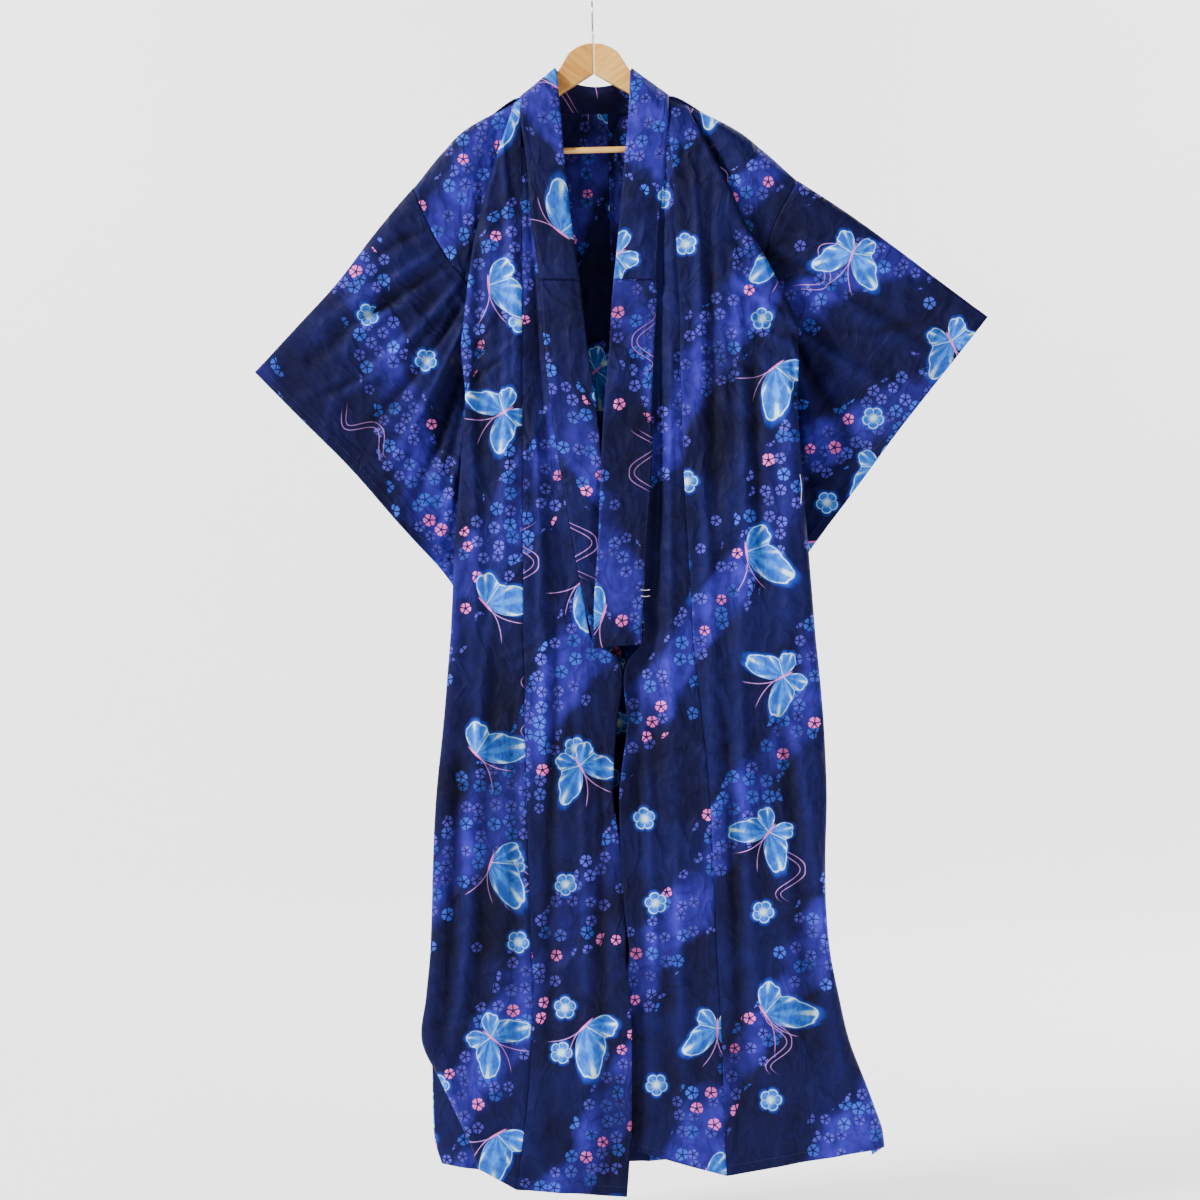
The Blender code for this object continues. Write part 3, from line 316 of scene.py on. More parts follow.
RIGHT_RIDGE = (
    (-26.0, 27.4, 0.0),
    (-29.5, 31.3, -1.6),
    (-36.5, 40.4, -1.2),
    (-44.5, 49.1, -0.9),
    (-49.2, 54.2, -0.8),
)
RIGHT_CUFF = (
    (-49.2, 54.2, -0.8),
    (-42.5, 61.0, -0.4),
    (-35.9, 67.6, 0.3),
    (-27.6, 77.1, 1.6),
    (-22.2, 83.0, 2.9),
    (-16.8, 91.0, 3.7),
)
LEFT_RIDGE = (
    (29.9, 26.4, 0.0),
    (35.5, 29.9, -1.7),
    (43.5, 35.5, -1.3),
    (50.5, 40.7, -1.0),
    (57.8, 46.1, -0.8),
)
LEFT_CUFF = (
    (57.8, 46.1, -0.8),
    (51.4, 54.3, -0.3),
    (45.0, 62.5, 0.4),
    (38.3, 71.7, 1.6),
    (32.9, 79.0, 2.9),
    (28.5, 85.3, 3.7),
)
SLEEVE_COLUMNS = (0.0, 0.06, 0.25, 0.5, 0.75, 1.0)

# A sleeve's depths, front sheet to back: the swell, the share of the cuff that is open, the sewn
# edges, the ridge, how far back the armhole's foot lies, and how far past the sheets the fold is
SLEEVE_SWELL = 1.3
CUFF_OPEN = 0.47
SEWN_DEPTH = 0.36
RIDGE_DEPTH = 0.26
SLEEVE_BEHIND = 2.4
FOLD_PAST = 0.09
NEAR_SHARE = 0.25
LINE_CUTS = 8
SHORTEST = 1e-6


def table(columns, rows):
    """Rows of centimetres as dictionaries of metres, by the columns' names."""
    names = columns.split()
    return [{name: value * CM for name, value in zip(names, row)} for row in rows]


def arm_y(x):
    """Depth of the hanger's arms, which sweep forward to their ends."""
    return ARM_BACK - ARM_SWEEP * abs(x)


def saddle(x):
    """Half the depth of the cloth over the arm."""
    past = min(max((abs(x) - ARM_REACH) / SADDLE_FADE, 0.0), 1.0)
    return SADDLE_DEPTH + (SADDLE_END - SADDLE_DEPTH) * past


def smooth(points, stations):
    """A smooth curve through points, along the first axis, at stations from 0 to len - 1."""
    points = np.asarray(points, float)
    spans = np.diff(points, axis=0)
    lengths = np.linalg.norm(spans, axis=-1, keepdims=True)
    lengths = np.maximum(lengths, SHORTEST)
    slopes = spans / lengths
    tangents = np.empty_like(points)
    weight = lengths[:-1] + lengths[1:]
    tangents[1:-1] = (slopes[:-1] * lengths[1:] + slopes[1:] * lengths[:-1]) / weight
    tangents[0] = slopes[0]
    tangents[-1] = slopes[-1]
    stations = np.asarray(stations, float)
    index = np.clip(stations.astype(int), 0, len(points) - 2)
    part = (stations - index).reshape((-1,) + (1,) * (points.ndim - 1))
    start, end, span = points[index], points[index + 1], lengths[index]
    square, cube = part**2, part**3
    return (
        (2 * cube - 3 * square + 1) * start
        + (cube - 2 * square + part) * span * tangents[index]
        + (3 * square - 2 * cube) * end
        + (cube - square) * span * tangents[index + 1]
    )


def stations(count, cuts):
    """Stations at every point of count, with each span cut in that many parts."""
    return np.linspace(0.0, count - 1, (count - 1) * cuts + 1)


def read(rows, column, drop):
    """The value of a column at a drop, along straight lines between the rows."""
    drops = [row["drop"] for row in rows]
    return float(np.interp(drop, drops, [row[column] for row in rows]))


def mix(a, b, share):
    """What lies a share of the way from a to b."""
    return a + (b - a) * share


def xyz(x, drop, y):
    """A point, from its drop below the hook."""
    return np.array((x, y, -drop))


def front_section(row, ridge=False):
    """One section of a front panel, from the overlap's seam out to the armhole or side."""
    seam = xyz(row["seam_x"], row["seam_z"], row["lay_y"])
    crest = xyz(row["crest_x"], row["crest_z"], row["lay_y"])
    tuck = xyz(row["tuck_x"], row["tuck_z"], row["under_y"])
    mid = xyz(row["mid_x"], row["mid_z"], row["mid_y"])
    out = xyz(row["out_x"], row["out_z"], row["out_y"])
    depth = abs(row["crest_x"]) - abs(row["tuck_x"])
    radius = FOLD_RADIUS * min(max(depth / FOLD_DEEP, 0.0), 1.0)
    back = np.array((0.0, radius, 0.0))
    panel = np.linalg.norm(crest - seam)
    leg = np.linalg.norm(tuck - crest)
    outer = np.linalg.norm(mid - tuck)
    points = [
        seam,
        mix(seam, crest, PANEL_SHARES[0]),
        mix(seam, crest, PANEL_SHARES[1]),
        mix(crest, seam, min(PANEL_LEG_LIMIT, FOLD_LEG / panel)),
        crest + back,
        mix(crest, tuck, min(TUCK_LEG_LIMIT, FOLD_LEG / leg)) + FOLD_TURN * back,
        mix(tuck, crest, min(TUCK_LEG_LIMIT, FOLD_LEG / leg)) - back,
        tuck,
        mix(tuck, mid, min(PANEL_LEG_LIMIT, FOLD_LEG / outer)) + back,
        mid,
        mix(mid, out, 0.5),
        out,
    ]
    if ridge:
        for point in points:
            point[1] = arm_y(point[0])
    return np.array(points)


def over_arm(sections, side):
    """Sections with the first one set on the arm, and one more on the saddle's shoulder."""
    first, second = sections[0].copy(), sections[1]
    shoulder = first.copy()
    for point, below in zip(shoulder, second):
        away = below - point
        away[1] = 0.0
        point += away / np.linalg.norm(away) * SADDLE_DROP
        point[1] = arm_y(point[0]) + side * saddle(point[0])
    first[:, 1] += side * SADDLE_EDGE
    return [first, shoulder] + sections[1:]


def front_sections(shoulder, skirt):
    """All sections of a front panel, from the shoulder's ridge to the hem."""
    sections = []
    for index, row in enumerate(table(SHOULDER_COLUMNS, shoulder)):
        sections.append(front_section(row, ridge=index == 0))
    for row in table(SKIRT_COLUMNS, skirt):
        row["tuck_z"] = mix(row["seam_z"], row["out_z"], SKIRT_TUCK_SHARE)
        row["mid_x"] = mix(row["tuck_x"], row["out_x"], SKIRT_MID_SHARE)
        row["mid_z"] = mix(row["tuck_z"], row["out_z"], SKIRT_MID_SHARE)
        row["lay_y"] = SKIRT_LAY * CM
        row["under_y"] = SKIRT_UNDER * CM
        row["mid_y"] = SKIRT_MID * CM
        row["out_y"] = SIDE_SEAM_Y * CM
        sections.append(front_section(row))
    return np.array(over_arm(sections, -1))


def edge_at(rows, drop):
    """A point of an inner edge, by the drop of the seam beside it."""
    return xyz(read(rows, "edge_x", drop), read(rows, "edge_z", drop), read(rows, "edge_y", drop))


def overlap_sections(front, rows):
    """A front overlap, from its seam with the front panel to its inner edge."""
    rows = table(OVERLAP_COLUMNS, rows)
    sections = []
    for seam in front[OVERLAP_FIRST:, 0]:
        drop = -seam[2]
        edge = edge_at(rows, drop)
        dip = np.array((0.0, read(rows, "dip", drop), 0.0))
        sections.append([mix(seam, edge, share) + bow * dip for share, bow in OVERLAP_SHARES])
    return np.array(sections)


def collar_side(front, overlap, rows):
    """Sections of the collar along one front, from its lower end up to the shoulder."""
    rows = table(COLLAR_COLUMNS, rows)
    seams = list(front[:OVERLAP_FIRST, 0])
    end = rows[-1]["drop"] + COLLAR_END_SLACK
    seams += [point for point in overlap[:, -1] if -point[2] < end]
    crown = np.array((0.0, -COLLAR_CROWN, 0.0))
    sections = []
    for seam in reversed(seams):
        drop = -seam[2]
        edge = edge_at(rows, drop)
        if drop < rows[0]["drop"] + RIDGE_SLACK:
            edge[1] = arm_y(edge[0])
            seam = np.array((seam[0], arm_y(seam[0]), seam[2]))
        between = [mix(seam, edge, share) + crown for share in BAND_SHARES]
        sections.append([seam, *between, edge])
    return sections


def collar_sections(right, left):
    """The whole collar: up the right front, round the neck and down the left front."""
    neck = []
    for row in table(NECK_COLUMNS, NECK):
        seam = xyz(row["seam_x"], row["seam_z"], row["seam_y"])
        edge = xyz(row["edge_x"], row["edge_z"], row["edge_y"])
        neck.append([seam, *[mix(seam, edge, share) for share in BAND_SHARES], edge])
    return np.array(right + neck + left[::-1])


def normals(points):
    """Unit normals of a grid of points."""
    down = np.gradient(points, axis=0)
    across = np.gradient(points, axis=1)
    normal = np.cross(down, across)
    return normal / np.linalg.norm(normal, axis=-1, keepdims=True)


def over_collar_points(collar):
    """The outer layer of the collar: its points moved out, ending level on each front."""
    drops = -collar[:, 0, 2]
    kept = np.nonzero(drops < OVER_COLLAR_DROP)[0]
    first, last = kept[0] - 1, kept[-1] + 1
    part = collar[first : last + 1].copy()
    for row, inner in ((part[0], part[1].copy()), (part[-1], part[-2].copy())):
        share = (-row[0, 2] - OVER_COLLAR_DROP) / (inner[0, 2] - row[0, 2])
        row += (inner - row) * share
    facing = normals(part)
    if facing[0, 1, 1] > 0:
        facing = -facing
    return part + facing * PANEL_LIFT


def side_line(sections, shoulder, side):
    """The back panel's outer edge: the armhole, a slack stretch, then the side seam."""
    rows = table(SHOULDER_COLUMNS, shoulder)
    line = []
    for index, section in enumerate(sections):
        point = section[-1].copy()
        if index > 1:
            point[1] = 2 * SIDE_SEAM_Y * CM - point[1]
        if index <= len(rows):
            row = rows[max(index - 1, 0)]
            point[1] = row["back_y"]
        if len(rows) - 1 <= index < len(rows) + SLACK_ROWS:
            point[0] -= side * BACK_SLACK * CM
            point[1] = BACK_SLACK_Y * CM
        line.append(point)
    return line


def back_sections(front, shoulder, neck_points, side):
    """A back panel, from its outer edge in to the centre-back seam."""
    centre = table(CENTRE_COLUMNS, CENTRE)
    outer = side_line(front, shoulder, side)
    first = front[0].copy()
    first[:, 1] = [arm_y(point[0]) for point in first]
    neck = first[0]
    out = first[-1]
    ridge = [out, mix(out, neck, 1 / 3), mix(out, neck, 2 / 3), neck] + neck_points
    ridge[1] = nearest_ridge(first, ridge[1])
    ridge[2] = nearest_ridge(first, ridge[2])
    sections = [np.array(ridge)]
    for index, point in enumerate(outer[2:], start=2):
        drop = -front[index, 0, 2]
        x = read(centre, "x", drop)
        y = read(centre, "y", drop)
        end = xyz(x, min(drop, BACK_HEM * CM), y)
        grow = min(max((drop - WAVE_START) / WAVE_GROW, 0.0), 1.0) * (1 - WAVE_FADE * drop)
        row = []
        for step, share in enumerate(BACK_SHARES):
            place = mix(point, end, share)
            place[1] = mix(point[1], y, min(share * BACK_FALL, 1.0))
            if 0 < share < 1:
                wave = math.sin(math.pi * WAVE_TURN * step + drop * WAVE_LEAN)
                place[1] += wave * BACK_FOLD_DEPTH * CM * grow
            row.append(place)
        sections.append(np.array(row))
    flat = over_arm(sections, 1)
    flat[0][4:, 1] -= SADDLE_EDGE
    flat[1][4:] = mix(sections[0][4:], sections[1][4:], NECK_SHARE)
    return np.array(flat)


def nearest_ridge(ridge, point):
    """A point moved to the ridge's height at its own x."""
    order = np.argsort(ridge[:, 0])
    height = np.interp(point[0], ridge[order, 0], ridge[order, 2])
    return np.array((point[0], arm_y(point[0]), height))


def along_line(place, places, points):
    """The point at a place along a line whose points have these places."""
    return np.array([np.interp(place, places, points[:, axis]) for axis in range(3)])


def shares_along(points):
    """Each point's share of the length of the line through them."""
    lengths = np.linalg.norm(np.diff(points, axis=0), axis=1)
    total = np.concatenate(([0.0], np.cumsum(lengths)))
    return total / total[-1]


def line_at(points, share):
    """The point at a share of a line's length."""
    line = smooth(points, stations(len(points), LINE_CUTS))
    return along_line(share, shares_along(line), line)


def sleeve_edges(front, back_line, free_edge):
    """The sleeve's inner edge on its front and back sheets: the armhole, then the free edge."""
    armhole = len(RIGHT_SHOULDER) + 1
    front_edge = [point.copy() for point in front[:armhole, -1]]
    back_edge = [point.copy() for point in front[:armhole, -1]]
    for point, behind in zip(back_edge, back_line):
        point[1] = behind[1]
    top, shoulder = back_edge[0], back_edge[1]
    top[1] = arm_y(top[0]) + SADDLE_EDGE
    shoulder[1] = arm_y(shoulder[0]) + saddle(shoulder[0])
    for point in back_edge[-2:]:
        point[1] = max(point[1], SLEEVE_BEHIND * CM)
    for row in table(EDGE_COLUMNS, free_edge):
        front_edge.append(xyz(row["x"], row["z"], row["front_y"]))
        back_edge.append(xyz(row["x"], row["z"], row["back_y"]))
    return np.array(front_edge), np.array(back_edge)


def line_points(rows):
    """The points of a ridge or cuff."""
    return np.array([xyz(row["x"], row["z"], row["y"]) for row in table(LINE_COLUMNS, rows)])


def sleeve_sheet(inner, ridge, cuff):
    """A sheet stretched between the inner edge, the ridge and the cuff, by rows down the sleeve."""
    down = shares_along(inner)
    top_in, top_out, low_in, low_out = inner[0], ridge[-1], inner[-1], cuff[-1]
    rows = []
    for index, v in enumerate(down):
        cuff_point = line_at(cuff, v)
        row = []
        for u in SLEEVE_COLUMNS:
            ridge_point = line_at(ridge, u)
            bottom_point = mix(low_in, low_out, u)
            ruled = mix(inner[index], cuff_point, u) + mix(ridge_point, bottom_point, v)
            corners = mix(mix(top_in, top_out, u), mix(low_in, low_out, u), v)
            row.append(ruled - corners)
        rows.append(row)
    return np.array(rows)


def sleeve_sheets(front, back_line, free_edge, ridge, cuff):
    """The front and back sheets of a sleeve: rows down it, from the armhole to the cuff."""
    ridge, cuff = line_points(ridge), line_points(cuff)
    front_edge, back_edge = sleeve_edges(front, back_line, free_edge)
    ridge[0] = front_edge[0]
    ridge[0][1] = arm_y(ridge[0][0])
    sheet = sleeve_sheet(front_edge, ridge, cuff)
    depth = back_edge[:, 1] - front_edge[:, 1]
    closed = SEWN_DEPTH * CM
    back = sheet.copy()
    for i, v in enumerate(shares_along(front_edge)):
        swell = SLEEVE_SWELL * CM * math.sin(math.pi * v) ** 0.5 if 0 < v < 1 else 0.0
        cuff_depth = closed + swell * max(0.0, math.sin(math.pi * min(v / CUFF_OPEN, 1.0)))
        near = max(depth[i], RIDGE_DEPTH * CM)
        for j, u in enumerate(SLEEVE_COLUMNS):
            far = mix(closed + swell, cuff_depth, max(0.0, (u - 0.5) / 0.5))
            back[i, j, 1] += mix(near, far, min(u / NEAR_SHARE, 1.0))
    return sheet, back


def fold_line(sheet, back, row, beyond):
    """The fold that joins a sleeve's two sheets, just past their last row."""
    middle = (sheet[row] + back[row]) / 2
    away = sheet[row] - sheet[beyond]
    away[:, 1] = 0.0
    away /= np.linalg.norm(away, axis=1, keepdims=True)
    return middle + away * FOLD_PAST * CM


# Cloth of the dressed pieces: the wall of a doubled hem, the share of it that single cloth has, the
# hem's width, the share of that at full thickness, the steps in which it thins, and the quads' size
CLOTH_WALL = 0.0011
SINGLE_SHARE = 0.5
HEM_WIDTH = 0.016
HEM_EDGE = 0.85
HEM_LEVELS = 4
QUAD_STEP = 0.0048
# How far in from a side seam front and back come to agree, the drops over which they do, and how
# far below the ridge creases grow
SIDE_FADE = 0.035
SEAM_SHARED = (0.43, 0.52)
RIDGE_FADE = 0.06
# The stations between which a front panel's fold hides its cloth, and how much it hides
FOLD_CREST = 4
FOLD_TUCK = 7
FOLD_CLOTH = 0.09
# How far a sewn seam pulls the cloth in, and how wide
SEAM_PRESS = 0.0011
SEAM_SIDE = 0.007

# A crease's width at its start and how it grows, the hollow beside it, and its height at an end
CREASE_COLUMNS = "x1 z1 x2 z2 bow width rise"
CREASE_GAIN = 2.4
CREASE_START = 0.45
CREASE_WIDEN = 0.6
CREASE_END = 0.02
MOAT_DEEP = 0.3
MOAT_WIDE = 2.4
# Noise: cells before it repeats. Crumples: how far another noise warps their cells, at which scale,
# and their depth and sharpness
LATTICE_CELLS = 64
WARP_CELLS = 0.5
WARP_SHIFT = 7.3
WARP_REACH = 0.8
CRUMPLE_DEEP = 2.2
CRUMPLE_SHARP = 0.8


def spread(points, axis, step):
    """Stations along an axis of a grid of points, at most step apart."""
    lengths = np.linalg.norm(np.diff(points, axis=axis), axis=-1).max(axis=1 - axis)
    places = [0.0]
    for index, length in enumerate(lengths):
        count = max(1, math.ceil(length / step))
        places += [index + part / count for part in range(1, count + 1)]
    return np.array(places)


def fine(grid, like=None):
    """A smooth surface through a grid, in small quads. like gives the stations of another grid."""
    grid = np.asarray(grid, float)
    pattern = grid if like is None else np.asarray(like, float)
    rows = smooth(grid, spread(pattern, 0, QUAD_STEP))
    surface = smooth(np.swapaxes(rows, 0, 1), spread(pattern, 1, QUAD_STEP))
    return np.swapaxes(surface, 0, 1)


def step(value, low, high):
    """0 up to low, 1 from high on, and smooth between them."""
    share = np.clip((value - low) / (high - low), 0.0, 1.0)
    return share * share * (3 - 2 * share)


def ease(share):
    """A share with its ends eased, so that no edge shows between cells."""
    return share * share * share * (share * (6 * share - 15) + 10)


def lattice(x, z, seed):
    """Smooth noise from -1 to 1 at places given in cells."""
    values = np.random.default_rng(seed).uniform(-1.0, 1.0, (LATTICE_CELLS, LATTICE_CELLS))
    column, row = np.floor(x).astype(int), np.floor(z).astype(int)
    u, v = ease(x - column), ease(z - row)
    column, row = column % LATTICE_CELLS, row % LATTICE_CELLS
    right, below = (column + 1) % LATTICE_CELLS, (row + 1) % LATTICE_CELLS
    a, b = values[row, column], values[row, right]
    c, d = values[below, column], values[below, right]
    return (a + (b - a) * u) * (1 - v) + (c + (d - c) * u) * v


def crumple(x, z, across, down, turn, seed):
    """Thin pressed wrinkles: noise folded at its middle, in cells of that size, turned."""
    cos, sin = math.cos(turn), math.sin(turn)
    u, v = (x * cos - z * sin) / across, (x * sin + z * cos) / down
    shift = lattice(u * WARP_CELLS + WARP_SHIFT, v * WARP_CELLS, seed + 1) * WARP_REACH
    return 1.0 - CRUMPLE_DEEP * np.abs(lattice(u + shift, v, seed)) ** CRUMPLE_SHARP


def creases(x, z, rows):
    """Soft ridges and troughs along lines that bow a little and fade at both ends."""
    total = np.zeros_like(x)
    for row in table(CREASE_COLUMNS, rows):
        start = np.array((row["x1"], -row["z1"]))
        along = np.array((row["x2"], -row["z2"])) - start
        length = np.linalg.norm(along)
        along /= length
        reach = (x - start[0]) * along[0] + (z - start[1]) * along[1]
        t = np.clip(reach / length, 0.0, 1.0)
        side = (x - start[0]) * -along[1] + (z - start[1]) * along[0]
        distance = np.hypot(side - row["bow"] * 4 * t * (1 - t), reach - t * length)
        width = row["width"] * (CREASE_START + CREASE_WIDEN * t)
        shape = np.exp(-((distance / width) ** 2))
        shape -= MOAT_DEEP * np.exp(-((distance / (MOAT_WIDE * width)) ** 2))
        total += CREASE_GAIN * row["rise"] * shape * np.sqrt(4 * t * (1 - t) + CREASE_END)
    return total


# Creases: both ends, the bow between them, the width, and the rise, negative for a trough. The
# body's come first, then those of the right sleeve and the left one.
FRONT_CREASES = (
    (-13.5, 17.0, -10.9, 60.0, 0.6, 1.1, 0.26),
    (-16.0, 22.0, -15.6, 70.0, -0.8, 1.4, -0.24),
    (-12.6, 40.0, -13.4, 96.0, 0.5, 1.2, 0.22),
    (-17.6, 58.0, -17.0, 104.0, 0.4, 1.3, 0.24),
    (-14.4, 88.0, -18.6, 150.0, -0.9, 1.6, 0.34),
    (-11.4, 100.0, -12.6, 165.0, 0.7, 1.5, -0.30),
    (-19.4, 108.0, -21.2, 150.0, 0.4, 1.3, -0.26),
    (-17.0, 128.0, -21.5, 158.0, 0.6, 1.3, 0.30),
    (-8.3, 60.0, -7.0, 120.0, 0.5, 1.2, 0.24),
    (-5.0, 86.0, -5.6, 168.0, -0.6, 1.4, -0.26),
    (-2.0, 100.0, -1.0, 170.0, 0.6, 1.3, 0.28),
    (1.6, 104.0, 2.4, 172.0, -0.4, 1.2, -0.22),
    (7.4, 98.0, 9.0, 168.0, 0.6, 1.3, 0.28),
    (11.6, 50.0, 12.2, 120.0, -0.6, 1.2, 0.24),
    (14.6, 24.0, 15.4, 66.0, 0.8, 1.2, 0.26),
    (17.6, 26.0, 19.0, 84.0, -0.8, 1.5, -0.28),
    (20.4, 36.0, 22.4, 96.0, 0.8, 1.4, 0.28),
    (24.2, 44.0, 25.0, 92.0, -0.6, 1.4, -0.26),
    (27.2, 52.0, 28.4, 100.0, 0.5, 1.2, 0.22),
    (15.8, 66.0, 17.6, 128.0, 0.7, 1.4, 0.26),
    (21.6, 88.0, 25.6, 158.0, -1.0, 1.7, 0.34),
    (19.4, 104.0, 21.4, 166.0, 0.8, 1.5, -0.30),
    (26.8, 98.0, 31.6, 156.0, 0.9, 1.6, -0.30),
    (30.0, 108.0, 36.4, 158.0, 0.6, 1.4, 0.30),
    (12.6, 120.0, 14.8, 170.0, -0.7, 1.5, 0.28),
    (-14.4, 46.6, -18.6, 50.2, 0.2, 0.7, 0.20),
    (-13.0, 52.0, -18.4, 55.6, 0.3, 0.8, -0.18),
    (22.0, 46.0, 29.4, 51.0, -0.3, 0.9, 0.22),
    (20.0, 52.0, 29.0, 56.6, -0.3, 0.9, -0.18),
    (-19.0, 40.5, -38.0, 59.0, 0.9, 1.2, 0.34),
    (-18.4, 43.0, -34.0, 63.5, 0.8, 1.1, -0.30),
    (-20.5, 38.2, -42.5, 54.0, -0.8, 1.3, -0.28),
    (-22.0, 36.0, -44.0, 49.0, 0.6, 1.2, 0.26),
    (-18.6, 46.5, -30.5, 69.0, 0.7, 1.1, 0.30),
    (-18.0, 50.0, -26.6, 74.0, 0.5, 1.0, -0.26),
    (-17.6, 54.0, -22.6, 80.0, 0.4, 0.9, 0.22),
    (-23.4, 33.0, -37.0, 41.0, -0.5, 1.1, -0.22),
    (-25.0, 44.0, -36.0, 49.0, -0.6, 0.8, 0.18),
    (-29.0, 52.0, -41.0, 58.0, 0.5, 0.8, -0.18),
    (20.0, 40.0, 46.0, 58.0, -0.9, 1.3, 0.34),
    (27.0, 44.0, 40.0, 66.0, -0.8, 1.2, -0.30),
    (24.0, 36.0, 51.0, 51.0, 0.9, 1.3, -0.28),
    (26.0, 33.0, 52.0, 44.0, 0.7, 1.2, 0.24),
    (28.6, 47.0, 36.4, 70.0, -0.7, 1.1, 0.30),
    (28.8, 51.0, 33.0, 75.0, -0.5, 1.0, -0.26),
    (28.4, 55.0, 30.4, 80.0, -0.4, 0.9, 0.22),
    (33.0, 38.0, 45.0, 39.6, 0.5, 0.9, 0.20),
    (36.0, 48.0, 47.0, 47.0, -0.6, 0.8, -0.18),
)

BACK_CREASES = (
    (-14.0, 22.0, -6.0, 62.0, 0.9, 1.5, 0.34),
    (18.0, 22.0, 9.0, 64.0, -0.9, 1.5, 0.34),
    (-9.0, 30.0, -10.0, 90.0, 0.6, 1.4, -0.28),
    (12.0, 34.0, 13.0, 96.0, -0.6, 1.4, -0.28),
    (-16.0, 44.0, -14.0, 110.0, 0.8, 1.6, 0.34),
    (22.0, 46.0, 21.0, 112.0, -0.8, 1.6, 0.34),
    (-5.0, 70.0, -8.0, 150.0, 0.8, 1.6, 0.34),
    (3.0, 60.0, 4.0, 164.0, 0.7, 1.5, -0.30),
    (11.0, 80.0, 14.0, 160.0, -0.9, 1.7, 0.36),
    (-13.0, 96.0, -17.0, 164.0, 0.7, 1.5, -0.32),
    (19.0, 96.0, 26.0, 162.0, -0.8, 1.6, -0.32),
    (27.0, 70.0, 33.0, 150.0, 0.8, 1.5, 0.30),
    (-19.0, 40.0, -36.0, 60.0, 0.9, 1.3, 0.34),
    (-19.0, 46.0, -30.0, 68.0, 0.8, 1.2, -0.30),
    (-22.0, 37.0, -42.0, 52.0, 0.7, 1.2, -0.26),
    (-18.0, 53.0, -24.0, 78.0, 0.5, 1.0, 0.26),
    (27.0, 42.0, 46.0, 57.0, -0.9, 1.3, 0.34),
    (27.0, 48.0, 38.0, 67.0, -0.8, 1.2, -0.30),
    (28.0, 38.0, 50.0, 48.0, 0.7, 1.2, -0.26),
    (28.0, 54.0, 31.0, 78.0, -0.5, 1.0, 0.26),
)

# The robe's upper outline, from cuff to cuff, where the cloth lies on its fold
RIDGE_LINE = (
    (-49.2, 54.2),
    (-36.5, 40.4),
    (-26.0, 27.4),
    (-19.6, 19.7),
    (-10.4, 13.9),
    (-5.0, 9.9),
    (5.0, 9.9),
    (11.1, 13.7),
    (22.3, 19.7),
    (29.9, 26.4),
    (43.5, 35.5),
    (57.8, 46.1),
)
HEM_DROP = 1.7

# How each face of the robe is rumpled: its creases; long waves and ripples, as height, cells across
# and down, shift in cells and seed; crumples, as height, cells across and down, turn and seed
FRONT_FACE = {
    "creases": FRONT_CREASES,
    "waves": (0.0016, 0.075, 0.42, 3.1, 0.0, 11),
    "ripples": (0.0010, 0.034, 0.16, 0.0, 9.0, 12),
    "crumples": (
        (0.0022, 0.075, 0.21, 0.35, 13),
        (0.0018, 0.052, 0.14, -0.55, 17),
        (0.0012, 0.036, 0.085, 1.1, 23),
    ),
}
BACK_FACE = {
    "creases": BACK_CREASES,
    "waves": (0.0014, 0.085, 0.5, 5.7, 0.0, 31),
    "ripples": (0.0008, 0.036, 0.17, 0.0, 2.0, 32),
    "crumples": (
        (0.0022, 0.075, 0.2, -0.3, 33),
        (0.0018, 0.05, 0.13, 0.6, 37),
        (0.0012, 0.035, 0.08, -1.2, 41),
    ),
}
# Drops between which the long waves set in, and their share of the full height at the top
WAVES_FROM = 0.3
WAVES_FULL = 0.9
WAVES_TOP = 0.6


def below_ridge(x, z):
    """How far a place lies below the robe's upper outline."""
    line = np.array(RIDGE_LINE) * CM
    return -np.interp(x, line[:, 0], line[:, 1]) - z


def rise(x, z, face):
    """How far a face's cloth stands out from its plain shape."""
    out = creases(x, z, face["creases"])
    height, across, down, right, below, seed = face["waves"]
    waves = lattice(x / across + right, z / down + below, seed)
    grown = WAVES_TOP + np.clip(-z / HEM_DROP, 0.0, 1.0)
    out += height * step(-z, WAVES_FROM, WAVES_FULL) * waves * grown
    height, across, down, right, below, seed = face["ripples"]
    out += height * lattice(x / across + right, z / down + below, seed)
    for height, *cells in face["crumples"]:
        out += height * crumple(x, z, *cells)
    return out * step(below_ridge(x, z), 0.0, RIDGE_FADE)


def settle(points, share):
    """Moves points by the front's rise at share 1 and by the back's at share 0.

    Gives the points, and how far the cloth stands out at each.
    """
    x, z = points[..., 0], points[..., 2]
    front, back = rise(x, z, FRONT_FACE), rise(x, z, BACK_FACE)
    moved = points.copy()
    moved[..., 1] += -front * share + back * (1 - share)
    return moved, front * share + back * (1 - share)


def edge_share(points, full):
    """full away from a panel's last column, and half at it below the armhole, so seams meet."""
    away = np.linalg.norm(points - points[:, -1:], axis=-1)
    down = step(-points[:, -1:, 2], *SEAM_SHARED)
    near = (1.0 - step(away, 0.0, SIDE_FADE)) * down
    return full + (0.5 - full) * near


def run(points, axis):
    """Lengths along an axis of a grid, from its start."""
    lengths = np.linalg.norm(np.diff(points, axis=axis), axis=-1)
    shape = list(lengths.shape)
    shape[axis] = 1
    return np.concatenate((np.zeros(shape), np.cumsum(lengths, axis=axis)), axis=axis)


def panel_cloth(points, shift, columns, fold):
    """Cloth coordinates of a hanging panel: across and down. Its fold hides cloth between two of
    the stations across: fold is 1 or -1 for the way that the panel runs, or 0 for no fold."""
    hidden = np.clip((columns - FOLD_CREST) / (FOLD_TUCK - FOLD_CREST), 0.0, 1.0)
    across = points[..., 0] + fold * FOLD_CLOTH * hidden
    return np.stack((across + shift[0], -points[..., 2] + shift[1]), axis=-1)


